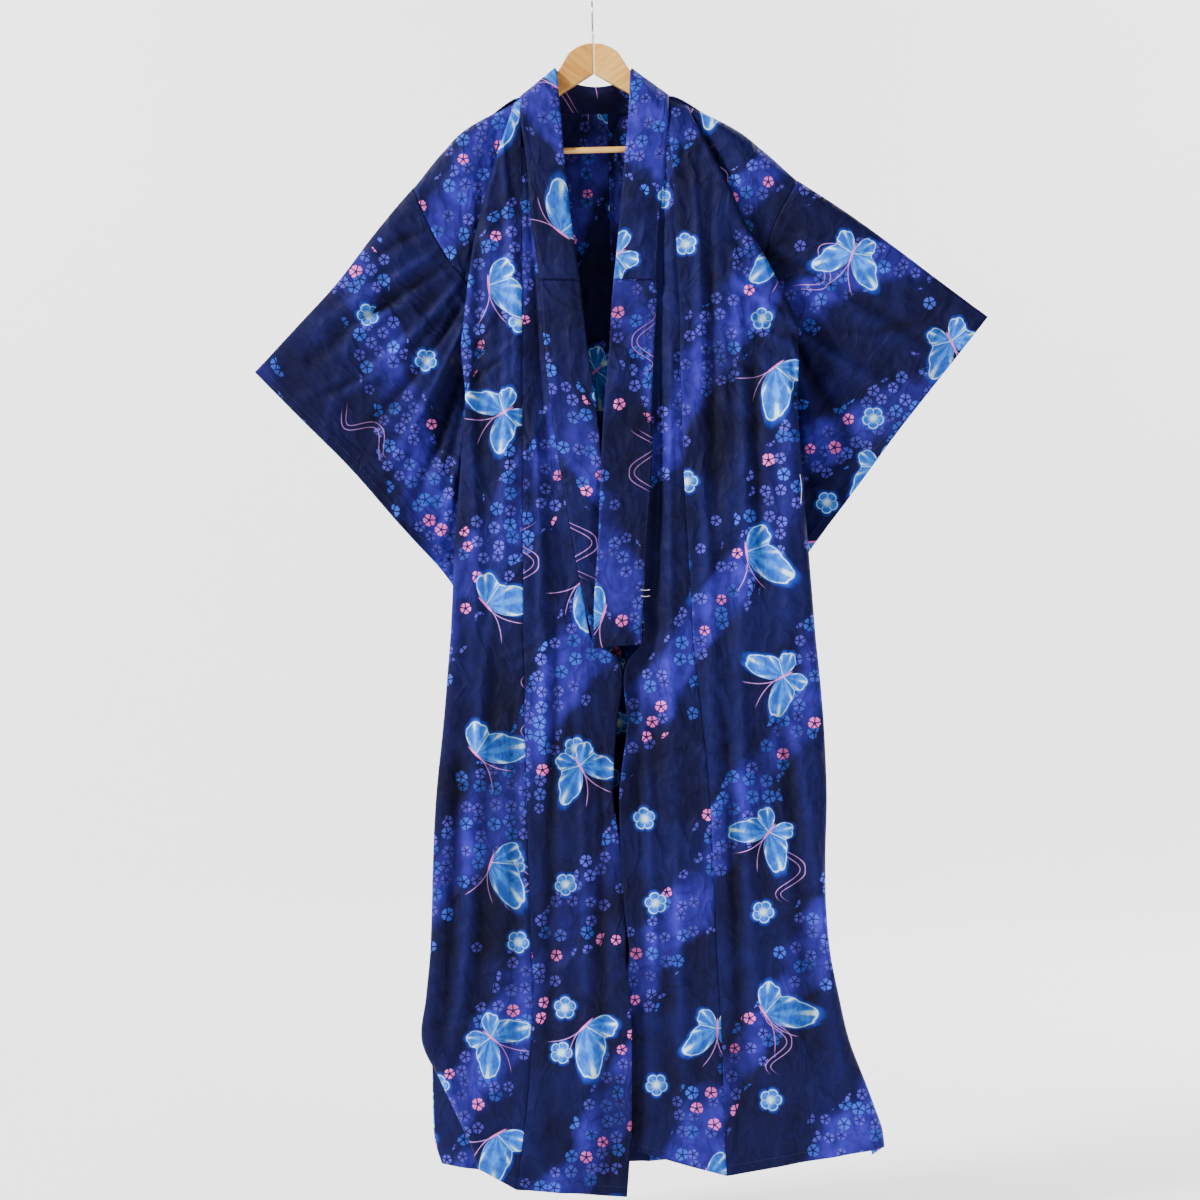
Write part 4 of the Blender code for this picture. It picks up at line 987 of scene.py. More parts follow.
def sleeve_cloth(points, origin, ridge_end, side, shift):
    """Cloth coordinates of a sleeve's sheet: along its ridge and down from it."""
    along = (ridge_end - origin)[[0, 2]]
    along /= np.linalg.norm(along)
    down = np.array((along[1], -along[0])) * (1 if along[0] > 0 else -1)
    place = points[..., [0, 2]] - origin[[0, 2]]
    return np.stack((side * (place @ along) + shift[0], place @ down + shift[1]), axis=-1)


def band_cloth(points, shift):
    """Cloth coordinates of a long band: across it and along it."""
    return np.stack((run(points, 1) + shift[0], run(points, 0) + shift[1]), axis=-1)


def edge_ways(points):
    """How far each point of a grid lies from its four edges, along the cloth."""
    return {
        "first row": run(points, 0),
        "last row": run(points[::-1], 0)[::-1],
        "first column": run(points, 1),
        "last column": run(points[:, ::-1], 1)[:, ::-1],
    }


def edge_hem(points, sides):
    """1 within the turned-in cloth beside the named edges of a grid, else 0."""
    hem = np.zeros(points.shape[:2])
    ways = edge_ways(points)
    for side in sides:
        hem = np.maximum(hem, 1.0 - step(ways[side], HEM_WIDTH * HEM_EDGE, HEM_WIDTH))
    return hem


def press_seams(points, sides, way):
    """Cloth beside its sewn edges lies a little deeper. way is 1 for a front, -1 for a back."""
    pressed = points.copy()
    ways = edge_ways(points)
    below = step(below_ridge(points[..., 0], points[..., 2]), 0.0, RIDGE_FADE)
    for side in sides:
        deep = (1.0 - step(ways[side], 0.0, SEAM_SIDE)) * below
        pressed[..., 1] += way * SEAM_PRESS * deep
    return pressed


def add_object(name, data):
    """A new object in the scene."""
    made = bpy.data.objects.new(name, data)
    bpy.context.scene.collection.objects.link(made)
    return made


def add_mesh(name, verts, faces, finish):
    """A new smooth mesh with its finish, as an object."""
    mesh = bpy.data.meshes.new(name)
    mesh.from_pydata(verts, [], faces)
    mesh.shade_smooth()
    mesh.materials.append(finish)
    return add_object(name, mesh)


def cloth_piece(node, points, relief, cloth, hems, finish, closed=False):
    """A thin shell of cloth in a solid's place, with its print's coordinates, its relief and
    thicker hems along the named edges. A closed one's last column joins its first."""
    rows, columns = points.shape[:2]
    faces = []
    for i in range(0, (rows - 1) * columns, columns):
        for j in range(columns if closed else columns - 1):
            k = (j + 1) % columns
            faces.append((i + j, i + columns + j, i + columns + k, i + k))
    piece = add_mesh(node + "_cloth", points.reshape(-1, 3).tolist(), faces, finish)
    mesh = piece.data
    layer = mesh.uv_layers.new(name="cloth")
    corner = np.empty(len(mesh.loops), dtype=np.int32)
    mesh.loops.foreach_get("vertex_index", corner)
    layer.data.foreach_set("uv", cloth.reshape(-1, 2)[corner].astype(np.float32).ravel())
    # The relief is kept for the finish, which paints shade in the folds and a highlight on their
    # crests by it.
    height = mesh.attributes.new("relief", "FLOAT", "POINT")
    height.data.foreach_set("value", relief.astype(np.float32).ravel())
    group = piece.vertex_groups.new(name="hem")
    hem = edge_hem(points, hems).reshape(-1)
    for level in range(HEM_LEVELS):
        weight = (level + 1) / HEM_LEVELS
        inside = np.nonzero((hem > level / HEM_LEVELS) & (hem <= weight))[0]
        if len(inside):
            group.add(inside.tolist(), weight, "REPLACE")
    wall = piece.modifiers.new("wall", "SOLIDIFY")
    wall.thickness = CLOTH_WALL
    wall.offset = 0.0
    wall.use_even_offset = False
    wall.vertex_group = "hem"
    wall.thickness_vertex_group = SINGLE_SHARE
    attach(piece, "root")
    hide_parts(node)


def linear(red, green, blue):
    """A colour as seen, 0 to 255, as the shader's linear values."""
    values = []
    for value in (red, green, blue):
        share = value / 255
        values.append(share / 12.92 if share <= 0.04045 else ((share + 0.055) / 1.055) ** 2.4)
    return (*values, 1.0)


class Graph:
    """Short ways to add and join shader nodes."""

    def __init__(self, name):
        self.material = bpy.data.materials.new(name)
        self.material.use_nodes = True
        self.tree = self.material.node_tree
        self.shader = self.tree.nodes["Principled BSDF"]

    def node(self, kind, **values):
        """A new node with these settings."""
        made = self.tree.nodes.new(kind)
        for key, value in values.items():
            setattr(made, key, value)
        return made

    def feed(self, socket, value):
        """Links an output to an input, or sets the input's value."""
        if isinstance(value, bpy.types.NodeSocket):
            self.tree.links.new(value, socket)
        elif value is not None:
            socket.default_value = value

    def math(self, operation, a, b=None, c=None):
        """The result of a sum with up to three terms."""
        made = self.node("ShaderNodeMath", operation=operation)
        for socket, value in zip(made.inputs, (a, b, c)):
            self.feed(socket, value)
        return made.outputs[0]

    def times(self, a, b):
        return self.math("MULTIPLY", a, b)

    def plus(self, a, b):
        return self.math("ADD", a, b)

    def minus(self, a, b):
        return self.math("SUBTRACT", a, b)

    def times_plus(self, a, b, c):
        """a times b, plus c."""
        return self.math("MULTIPLY_ADD", a, b, c)

    def size(self, a):
        """a without its sign."""
        return self.math("ABSOLUTE", a)

    def below(self, a, b):
        """1 where a is less than b, else 0."""
        return self.math("LESS_THAN", a, b)

    def vector(self, operation, a, b=None, scale=None):
        """The result of a sum with vectors."""
        made = self.node("ShaderNodeVectorMath", operation=operation)
        self.feed(made.inputs[0], a)
        self.feed(made.inputs[1], b)
        if scale is not None:
            self.feed(made.inputs["Scale"], scale)
        return made.outputs["Value" if operation in ("DOT_PRODUCT", "LENGTH") else "Vector"]

    def ramp(self, value, low, high, to_low=0.0, to_high=1.0, smooth_ends=True):
        """value from low to high, as to_low to to_high and no further."""
        made = self.node("ShaderNodeMapRange")
        made.interpolation_type = "SMOOTHSTEP" if smooth_ends else "LINEAR"
        for index, item in enumerate((value, low, high, to_low, to_high)):
            self.feed(made.inputs[index], item)
        return made.outputs[0]

    def blend(self, share, a, b):
        """Colour a at share 0 and b at share 1."""
        made = self.node("ShaderNodeMix", data_type="RGBA")
        self.feed(made.inputs[0], share)
        self.feed(made.inputs[6], a)
        self.feed(made.inputs[7], b)
        return made.outputs[2]

    def split(self, vector):
        """A vector's three parts."""
        made = self.node("ShaderNodeSeparateXYZ")
        self.feed(made.inputs[0], vector)
        return made.outputs

    def join(self, x, y, z=0.0):
        """A vector of these parts."""
        made = self.node("ShaderNodeCombineXYZ")
        for socket, value in zip(made.inputs, (x, y, z)):
            self.feed(socket, value)
        return made.outputs[0]

    def noise(self, vector, scale, detail=2.0, roughness=0.5):
        """Noise as a value and as a colour. scale is its features a metre."""
        made = self.node("ShaderNodeTexNoise")
        self.feed(made.inputs["Vector"], vector)
        made.inputs["Scale"].default_value = scale
        made.inputs["Detail"].default_value = detail
        made.inputs["Roughness"].default_value = roughness
        return made.outputs

    def cells(self, vector, size, randomness):
        """Each cell's own random colour, and the place measured from the cell's centre."""
        made = self.node("ShaderNodeTexVoronoi", voronoi_dimensions="2D", feature="F1")
        self.feed(made.inputs["Vector"], vector)
        made.inputs["Scale"].default_value = 1.0 / size
        made.inputs["Randomness"].default_value = randomness
        local = self.vector("SUBTRACT", vector, made.outputs["Position"])
        return made.outputs["Color"], local

    def turned(self, local, angle, axis="Z_AXIS"):
        """A place turned about an axis."""
        made = self.node("ShaderNodeVectorRotate", rotation_type=axis)
        self.feed(made.inputs["Vector"], local)
        self.feed(made.inputs["Angle"], angle)
        return made.outputs[0]

    def place(self):
        """Places in the object's own metres."""
        return self.node("ShaderNodeTexCoord").outputs["Object"]

    def bump(self, height, strength, distance):
        """Feeds the shader a bumped surface."""
        made = self.node("ShaderNodeBump")
        made.inputs["Strength"].default_value = strength
        made.inputs["Distance"].default_value = distance
        self.feed(made.inputs["Height"], height)
        self.feed(self.shader.inputs["Normal"], made.outputs[0])

    def finish(self, **values):
        """Feeds the shader's inputs, with _ for a space in their names. Gives the material."""
        for name, value in values.items():
            self.feed(self.shader.inputs[name.replace("_", " ")], value)
        return self.material


# Colours of the print, as seen
NAVY = linear(14, 15, 66)
NAVY_DEEP = linear(8, 8, 46)
HAZE = linear(47, 39, 146)
HAZE_DEEP = linear(32, 26, 116)
VIOLET = linear(80, 72, 186)
SKY = linear(54, 88, 202)
PINK = linear(230, 112, 190)
WING = linear(44, 122, 220)
WING_DEEP = linear(28, 84, 186)
WING_PALE = linear(206, 236, 248)
OUTLINE = linear(176, 222, 248)
GLOW = linear(40, 74, 204)
LINE_PINK = linear(190, 130, 206)

# Sizes of the print, in metres of cloth. A motif's cell is as wide as one motif and the space that
# it may have round it, and its chance is the share of cells that hold one.
TURN = 2 * math.pi
HAZE_WAY = (0.84, 0.545, 0.0)
HAZE_PERIOD = 0.2
HAZE_PUSH = 0.13
BLOSSOM_CELL = 0.0225
BLOSSOM_REACH = 0.0094
BLOSSOM_CHANCE = 0.74
STRAY_CHANCE = 0.015
PINK_FROM = 0.93
STREAM_CELL = 0.25
STREAM_CHANCE = 0.72
STREAM_TURNS = 88.0
STREAM_GAP = 0.0036
STREAM_LINE = (0.0003, 0.0008)
STREAM_ENDS = (0.034, 0.05)
PLUM_CELL = 0.125
PLUM_CHANCE = 0.4
PLUM_NOTCH = 0.0106
PLUM_LOBE = 0.0048
BUTTERFLY_CELL = 0.215
BUTTERFLY_CHANCE = 0.64
BUTTERFLY_TURN = 1.3
OPEN_WINGS = 0.38
WING_SPLIT = -0.22
SIDE_SIZE = 1.3
SIDE_SHIFT = 0.03
BODY = (0.0019, 0.017, 1.0)
HEAD = 0.014
THREAD_SCALE = 1500.0
CREASE_LINES = 30.0

# How far a butterfly's wings reach, by the angle in degrees above its body's side, in millimetres,
# and the reach for which the curve reads 1
WING_FULL = 100.0
WING_OUTLINE = (
    (-90, 4.0),
    (-82, 12.0),
    (-72, 24.0),
    (-58, 33.0),
    (-42, 35.0),
    (-26, 32.0),
    (-14, 27.0),
    (-4, 30.0),
    (10, 38.0),
    (24, 49.0),
    (35, 59.0),
    (42, 59.0),
    (50, 50.0),
    (62, 35.0),
    (76, 17.0),
    (90, 3.0),
)


def haze_wave(g, cloth):
    """Diagonal bands with cloudy edges, from -1 between them to 1 along their middles."""
    cloud = g.noise(cloth, 6.0, 3.0, 0.55)[0]
    push = g.times(g.minus(cloud, 0.5), HAZE_PUSH)
    across = g.vector("DOT_PRODUCT", cloth, HAZE_WAY)
    place = g.times(g.plus(across, push), TURN / HAZE_PERIOD)
    return g.math("SINE", place)


def lobes(g, local, turn):
    """The five lobes round a flower's centre, from 0 at a notch to 1 at a tip."""
    x, y = g.split(local)[:2]
    angle = g.plus(g.math("ARCTAN2", y, x), g.times(turn, TURN))
    return g.size(g.math("COSINE", g.times(angle, 2.5)))


def blossoms(g, cloth, colour, band):
    """Small blossoms of five petals parted by dark lines, many in the bands and few beyond."""
    random, local = g.cells(cloth, BLOSSOM_CELL, 0.62)
    red, green, blue = g.split(random)
    lobe = lobes(g, local, green)
    tip = g.ramp(lobe, 0.95, 1.0, 0.0, 0.1)
    reach = g.minus(g.times_plus(g.math("POWER", lobe, 0.5), 0.3, 0.72), tip)
    size = g.times(g.ramp(blue, 0.0, 1.0, 0.82, 1.1, False), BLOSSOM_REACH)
    radius = g.vector("LENGTH", local)
    edge = g.minus(g.times(reach, size), radius)
    chance = g.below(red, g.times_plus(band, BLOSSOM_CHANCE, STRAY_CHANCE))
    inside = g.times(g.ramp(edge, 0.0, 0.0007), chance)
    gap = g.ramp(g.times(lobe, radius), 0.0015, 0.0028)
    tint = g.blend(g.ramp(blue, 0.5, 0.85), VIOLET, SKY)
    tint = g.blend(g.math("GREATER_THAN", green, PINK_FROM), tint, PINK)
    strength = g.ramp(green, 0.0, PINK_FROM, 0.45, 0.85, False)
    colour = g.blend(g.times(inside, 0.55), colour, NAVY_DEEP)
    return g.blend(g.times(g.times(inside, gap), strength), colour, tint)


def streams(g, cloth, colour):
    """Thin double lines that bend like a stream."""
    random, local = g.cells(cloth, STREAM_CELL, 0.4)
    red, green, blue = g.split(random)
    x, y = g.split(local)[:2]
    place = g.times_plus(y, STREAM_TURNS, g.times(green, 2.0))
    reach = g.times_plus(blue, 0.008, 0.015)
    slope = g.times(g.times(g.math("COSINE", place), reach), STREAM_TURNS)
    lean = g.math("SQRT", g.times_plus(slope, slope, 1.0))
    curve = g.times(g.math("SINE", place), reach)
    aside = g.math("DIVIDE", g.minus(x, curve), lean)
    off = g.math("PINGPONG", aside, STREAM_GAP)
    line = g.ramp(off, *STREAM_LINE, 1.0, 0.0)
    middle = g.size(g.minus(aside, STREAM_GAP))
    near = g.ramp(middle, STREAM_GAP * 1.3, STREAM_GAP * 1.45, 1.0, 0.0)
    ends = g.ramp(g.size(y), *STREAM_ENDS, 1.0, 0.0)
    chance = g.below(red, STREAM_CHANCE)
    share = g.times(g.times(line, near), g.times(ends, chance))
    return g.blend(g.times(share, 0.7), colour, LINE_PINK)


def plums(g, cloth, colour):
    """Round-petalled flowers with a pale outline and a glow. ratio is 0 at a flower's centre and 1
    at its outline."""
    random, local = g.cells(cloth, PLUM_CELL, 0.5)
    red, blue = g.split(random)[0], g.split(random)[2]
    lobe = lobes(g, local, blue)
    reach = g.times_plus(g.math("POWER", lobe, 0.45), PLUM_LOBE, PLUM_NOTCH)
    radius = g.vector("LENGTH", local)
    ratio = g.math("DIVIDE", radius, reach)
    chance = g.below(red, PLUM_CHANCE)
    glow = g.times(g.ramp(ratio, 0.9, 1.45, 0.7, 0.0), chance)
    colour = g.blend(glow, colour, GLOW)
    patchy = g.noise(local, 160.0, 2.0)[0]
    face = g.blend(g.ramp(patchy, 0.35, 0.65), WING_DEEP, WING)
    face = g.blend(g.ramp(ratio, 0.05, 0.6, 1.0, 0.0), face, WING_PALE)
    petals = g.ramp(g.times(lobe, radius), 0.0008, 0.0018, 0.65, 0.0)
    face = g.blend(petals, face, OUTLINE)
    colour = g.blend(g.times(g.ramp(ratio, 0.97, 1.02, 1.0, 0.0), chance), colour, face)
    rim = g.ramp(g.size(g.minus(ratio, 1.0)), 0.02, 0.075, 1.0, 0.0)
    return g.blend(g.times(g.times(rim, 0.8), chance), colour, OUTLINE)


def wing_reach(g, angle):
    """How far the wings reach at an angle above the body's side."""
    made = g.node("ShaderNodeFloatCurve")
    curve = made.mapping.curves[0]
    places = [((degrees + 90) / 180, reach / WING_FULL) for degrees, reach in WING_OUTLINE]
    curve.points[0].location = places[0]
    curve.points[1].location = places[-1]
    for place in places[1:-1]:
        curve.points.new(*place)
    made.mapping.update()
    g.feed(made.inputs["Value"], g.times_plus(angle, 1 / math.pi, 0.5))
    return g.times(made.outputs[0], WING_FULL / 1000)


def butterflies(g, cloth, colour):
    """Butterflies with veined wings: open ones, and ones seen from the side. ratio is 0 at the
    wings' root and 1 at their rim, and fan is the angle between."""
    random, local = g.cells(cloth, BUTTERFLY_CELL, 0.3)
    red, green, blue = g.split(random)
    angle = g.times_plus(green, 2 * BUTTERFLY_TURN, -BUTTERFLY_TURN)
    x, y = g.split(g.turned(local, angle))[:2]
    closed = g.math("GREATER_THAN", blue, OPEN_WINGS)
    side_x = g.plus(x, SIDE_SHIFT)
    open_x = g.size(x)
    wing_x = g.times_plus(closed, g.minus(side_x, open_x), open_x)
    size = g.times_plus(closed, SIDE_SIZE - 1.0, 1.0)
    fan = g.math("ARCTAN2", y, g.math("MAXIMUM", wing_x, 0.00001))
    scallop = g.size(g.math("SINE", g.times_plus(fan, 7.0, g.times(red, 9.0))))
    reach = g.times(wing_reach(g, fan), g.times_plus(scallop, 0.07, 0.95))
    radius = g.vector("LENGTH", g.join(wing_x, y))
    ratio = g.math("DIVIDE", radius, g.times(reach, size))
    beyond = g.below(wing_x, 0.0)
    ratio = g.plus(ratio, g.times(beyond, 9.0))
    chance = g.below(red, BUTTERFLY_CHANCE)
    glow = g.times(g.ramp(ratio, 0.95, 1.22, 0.7, 0.0), chance)
    colour = g.blend(glow, colour, GLOW)
    vein = g.math("SINE", g.times(fan, 13.0))
    patchy = g.noise(local, 60.0, 3.0)[0]
    face = g.blend(g.ramp(g.times_plus(vein, 0.12, patchy), 0.36, 0.62), WING_DEEP, WING)
    streak = g.times(g.ramp(vein, 0.55, 1.0), g.ramp(ratio, 0.5, 0.92))
    ends = g.ramp(g.plus(patchy, g.times(streak, 0.25)), 0.5, 0.72)
    face = g.blend(g.times(streak, g.times_plus(ends, 0.6, 0.35)), face, WING_PALE)
    split = g.times(g.size(g.minus(fan, WING_SPLIT)), radius)
    face = g.blend(g.ramp(split, 0.0003, 0.0009, 0.85, 0.0), face, OUTLINE)
    colour = g.blend(g.times(g.ramp(ratio, 0.97, 1.0, 1.0, 0.0), chance), colour, face)
    rim = g.ramp(g.size(g.minus(ratio, 1.0)), 0.008, 0.032, 0.9, 0.0)
    colour = g.blend(g.times(rim, chance), colour, OUTLINE)
    body_x = g.times_plus(closed, g.minus(side_x, x), x)
    body = g.vector("LENGTH", g.vector("DIVIDE", g.join(body_x, y), BODY))
    colour = g.blend(g.times(g.ramp(body, 0.75, 1.0, 0.85, 0.0), chance), colour, PINK)
    rise = g.minus(y, HEAD)
    arc = g.times(rise, g.times_plus(rise, 9.0, 0.12))
    off = g.size(g.minus(g.size(body_x), arc))
    feeler = g.ramp(off, 0.0004, 0.0009, 0.85, 0.0)
    span = g.times(g.ramp(y, 0.012, HEAD), g.ramp(y, 0.05, 0.058, 1.0, 0.0))
    return g.blend(g.times(g.times(feeler, span), chance), colour, LINE_PINK)


def weave_bump(g, cloth):
    """Plain weave, puckering and pressed wrinkles. Gives the puckers, and 0 on a wrinkle's line,
    along which the finish paints shade.
    """
    threads = g.noise(g.vector("MULTIPLY", cloth, (1.0, 0.35, 1.0)), THREAD_SCALE, 1.0)[0]
    cross = g.noise(g.vector("MULTIPLY", cloth, (0.35, 1.0, 1.0)), THREAD_SCALE, 1.0)[0]
    pucker = g.noise(cloth, 60.0, 3.0, 0.6)[0]
    warp = g.vector("SCALE", g.noise(cloth, 9.0, 2.0)[1], scale=0.06)
    lain = g.vector("ADD", g.vector("MULTIPLY", cloth, (1.0, 0.5, 1.0)), warp)
    sharp = g.size(g.minus(g.noise(lain, CREASE_LINES, 2.0)[0], 0.5))
    height = g.times_plus(pucker, 0.7, g.times(g.plus(threads, cross), 0.12))
    g.bump(g.times_plus(sharp, -5.0, height), strength=1.0, distance=0.0024)
    return pucker, sharp


def cotton(name):
    """Printed cotton with painted shade, darker in its folds and along its wrinkles' lines, and a
    painted highlight, paler along the folds' crests. The motifs are printed on hazy diagonal
    bands, the smallest first."""
    g = Graph(name)
    place = g.node("ShaderNodeUVMap", uv_map="cloth").outputs[0]
    fade = g.noise(place, 9.0, 4.0, 0.6)[0]
    colour = g.blend(g.ramp(fade, 0.3, 0.7), NAVY_DEEP, NAVY)
    wave = haze_wave(g, place)
    mottled = g.noise(place, 38.0, 2.0, 0.5)[0]
    haze = g.blend(g.ramp(mottled, 0.3, 0.7), HAZE_DEEP, HAZE)
    breaks = g.ramp(g.noise(place, 3.4, 1.0)[0], 0.36, 0.5, 0.25, 0.9)
    colour = g.blend(g.times(g.ramp(wave, 0.2, 0.9), breaks), colour, haze)
    colour = blossoms(g, place, colour, g.ramp(wave, -0.25, 0.45))
    colour = streams(g, place, colour)
    colour = plums(g, place, colour)
    colour = butterflies(g, place, colour)
    pucker, sharp = weave_bump(g, place)
    # Painted shade and highlight: the colour is darkened where the cloth's relief sinks and along
    # the wrinkles' lines, and lightened where it stands out.
    relief = g.node("ShaderNodeAttribute", attribute_name="relief").outputs["Fac"]
    crest = g.ramp(relief, -0.005, 0.005, 0.4, 1.4, False)
    crest = g.times(crest, g.ramp(sharp, 0.0, 0.022, 0.72, 1.0))
    return g.finish(
        Base_Color=g.vector("MULTIPLY", colour, g.join(crest, crest, crest)),
        Roughness=g.ramp(pucker, 0.3, 0.7, 0.6, 0.74),
        Sheen_Weight=0.03,
        Sheen_Roughness=0.35,
        Sheen_Tint=(0.55, 0.6, 1.0, 1.0),
        Specular_IOR_Level=0.1,
    )


def thread_finish(name, colour):
    """Cotton thread, mottled by its ply."""
    g = Graph(name)
    dark = [value * 0.7 for value in colour[:3]] + [1.0]
    ply = g.noise(g.place(), 1400.0, 2.0)[0]
    return g.finish(Base_Color=g.blend(ply, colour, dark), Roughness=0.8)


def wood_finish(name, side, light, deep):
    """Varnished wood with its grain along the arm."""
    g = Graph(name)
    along = g.turned(g.place(), side * math.radians(35), "Y_AXIS")
    figure = g.noise(g.vector("MULTIPLY", along, (3.0, 30.0, 46.0)), 3.2, 4.0, 0.6)[0]
    lines = g.noise(g.vector("MULTIPLY", along, (6.0, 160.0, 260.0)), 3.0, 2.0)[0]
    colour = g.blend(g.ramp(figure, 0.3, 0.72), light, deep)
    colour = g.blend(g.ramp(lines, 0.55, 0.8, 0.0, 0.2), colour, linear(150, 96, 40))
    g.bump(lines, strength=0.12, distance=0.0006)
    return g.finish(
        Base_Color=colour,
        Roughness=g.ramp(figure, 0.2, 0.8, 0.32, 0.42),
        Coat_Weight=0.4,
        Coat_Roughness=0.15,
    )


def wire_finish(name):
    """Bright steel wire with slight wear."""
    g = Graph(name)
    wear = g.noise(g.place(), 420.0, 3.0)[0]
    return g.finish(
        Base_Color=g.blend(wear, linear(186, 188, 192), linear(140, 142, 148)),
        Roughness=g.ramp(wear, 0.3, 0.7, 0.25, 0.42),
        Metallic=1.0,
    )


# Where each piece's print starts, in metres
SHIFTS = {
    "front_right": (0.37, 0.05),
    "front_left": (1.26, 0.31),
    "overlap_right": (2.17, 0.22),
    "overlap_left": (3.05, 0.47),
    "back_right": (4.11, 0.12),
    "back_left": (5.29, 0.40),
    "sleeve_right": (6.07, 0.11),
    "sleeve_left": (7.21, 0.43),
    "collar": (8.3, 0.15),
    "over_collar": (9.4, 0.35),
}
SLEEVE_BACK_SHIFT = 0.5


def sleeve_piece(name, sheets, finish, side):
    """A sleeve's two sheets, settled, joined by their folds and wrapped in one tube."""
    sheet = fine(sheets[0])
    back = fine(sheets[1], like=sheets[0])
    origin, end = sheet[0, 0].copy(), sheet[0, -1].copy()
    length = run(sheet, 0)
    edge = np.minimum(length, length[-1:] - length)
    near = 0.5 * (1.0 - step(edge, 0.0, SIDE_FADE))
    across, down = SHIFTS[name]
    front_cloth = sleeve_cloth(sheet, origin, end, side, (across, down))
    back_cloth = sleeve_cloth(back, origin, end, side, (across + SLEEVE_BACK_SHIFT, down))
    sheet, front_relief = settle(sheet, 1.0 - near)
    back, back_relief = settle(back, near)
    top, bottom = fold_line(sheet, back, 0, 1), fold_line(sheet, back, -1, -2)
    around = np.concatenate((top[None], sheet, bottom[None], back[::-1]))
    cloth = np.concatenate((front_cloth[:1], front_cloth, front_cloth[-1:], back_cloth[::-1]))
    relief = np.concatenate((front_relief[:1], front_relief, front_relief[-1:], back_relief[::-1]))
    around, cloth = np.swapaxes(around, 0, 1), np.swapaxes(cloth, 0, 1)
    cloth_piece(name, around, relief.T, cloth, ["last row"], finish, closed=True)
    return sheet


def panel_piece(name, grid, share_of, seams, way, hems, finish, fold=0):
    """A hanging panel's cloth, settled and pressed beside its seams. Gives its points."""
    points = fine(grid)
    cloth = panel_cloth(points, SHIFTS[name], spread(grid, 1, QUAD_STEP), fold)
    points, relief = settle(points, share_of(points))
    points = press_seams(points, seams, way)
    cloth_piece(name, points, relief, cloth, hems, finish)
    return points


def make_side(word, side, tables, neck, finish):
    """One side of the body with its sleeve. Gives the pieces' points and the collar's sections."""
    shoulder, skirt, overlap_rows, collar_rows, free_edge, ridge, cuff = tables
    front = front_sections(shoulder, skirt)
    overlap = overlap_sections(front, overlap_rows)
    back = back_sections(front, shoulder, neck, side)
    outer = side_line(front, shoulder, side)
    sheets = sleeve_sheets(front, outer, free_edge, ridge, cuff)
    shown = {
        f"front_{word}": panel_piece(
            f"front_{word}", front, lambda points: edge_share(points, 1.0),
            ["first column", "last column"], 1, ["last row", "first column"], finish, side,
        ),
        f"overlap_{word}": panel_piece(
            f"overlap_{word}", overlap, lambda points: np.ones(points.shape[:2]),
            ["first column"], 1, ["last row", "last column"], finish,
        ),
        f"back_{word}": panel_piece(
            f"back_{word}", back, lambda points: edge_share(points[:, ::-1], 0.0)[:, ::-1],
            ["last column"], -1, ["last row", "last column"], finish,
        ),
        f"sleeve_{word}": sleeve_piece(f"sleeve_{word}", sheets, finish, side),
    }
    return shown, collar_side(front, overlap, collar_rows)


def make_robe():
    """The whole robe. Gives the points of each piece's cloth."""
    finish = cotton("printed cotton")
    collar_finish = cotton("collar cotton")
    neck = [xyz(row["seam_x"], row["seam_z"], row["seam_y"]) for row in table(NECK_COLUMNS, NECK)]
    middle = neck[NECK_CENTRE]
    right_tables = (
        RIGHT_SHOULDER, RIGHT_SKIRT, RIGHT_OVERLAP, RIGHT_COLLAR,
        RIGHT_FREE_EDGE, RIGHT_RIDGE, RIGHT_CUFF,
    )
    left_tables = (
        LEFT_SHOULDER, LEFT_SKIRT, LEFT_OVERLAP, LEFT_COLLAR,
        LEFT_FREE_EDGE, LEFT_RIDGE, LEFT_CUFF,
    )
    shown, right = make_side("right", -1, right_tables, [neck[0], neck[2], middle], finish)
    left_shown, left = make_side("left", 1, left_tables, [neck[5], neck[4], middle], finish)
    shown.update(left_shown)

    sections = collar_sections(right, left)
    band = smooth(sections, stations(len(sections), COLLAR_CUTS))
    every = ["first row", "last row", "first column", "last column"]
    for name, control in (("collar", band), ("over_collar", over_collar_points(band))):
        points = fine(control)
        cloth = band_cloth(points, SHIFTS[name])
        points, relief = settle(points, front_share(points))
        cloth_piece(name, points, relief, cloth, every, collar_finish)
        shown[name] = points
    return shown


def front_share(points):
    """1 on the fronts and half behind the neck, where nothing rises."""
    return 0.5 + 0.5 * step(-points[..., 2], *NECK_DROPS)


def stitch_row(name, line, facing, finish):
    """A row of short running stitches laid on cloth along a line."""
    places = run(line[None], 1)[0]
    verts, faces = [], []
    for start in np.arange(STITCH_PITCH, places[-1] - STITCH_PITCH, STITCH_PITCH):
        first, last = (along_line(s, places, line) for s in (start, start + STITCH_LENGTH))
        out = along_line(start, places, facing)
        side = np.cross((last - first) / np.linalg.norm(last - first), out) * STITCH_THICK
        base = len(verts)
        for point, bow in ((first, 0.0), ((first + last) / 2, 1.0), (last, 0.0)):
            height = out * (STITCH_LIFT + STITCH_THICK * bow)
            top, foot = point + height + out * STITCH_THICK, point - out * STITCH_THICK
            verts += [point + height - side, top, point + height + side, foot]
        for a in (base, base + 4):
            faces += [(a + k, a + (k + 1) % 4, a + (k + 1) % 4 + 4, a + k + 4) for k in range(4)]
        faces.append((base, base + 3, base + 2, base + 1))
        faces.append((base + 8, base + 9, base + 10, base + 11))
    piece = add_mesh(name, [tuple(vert) for vert in verts], faces, finish)
    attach(piece, "root")


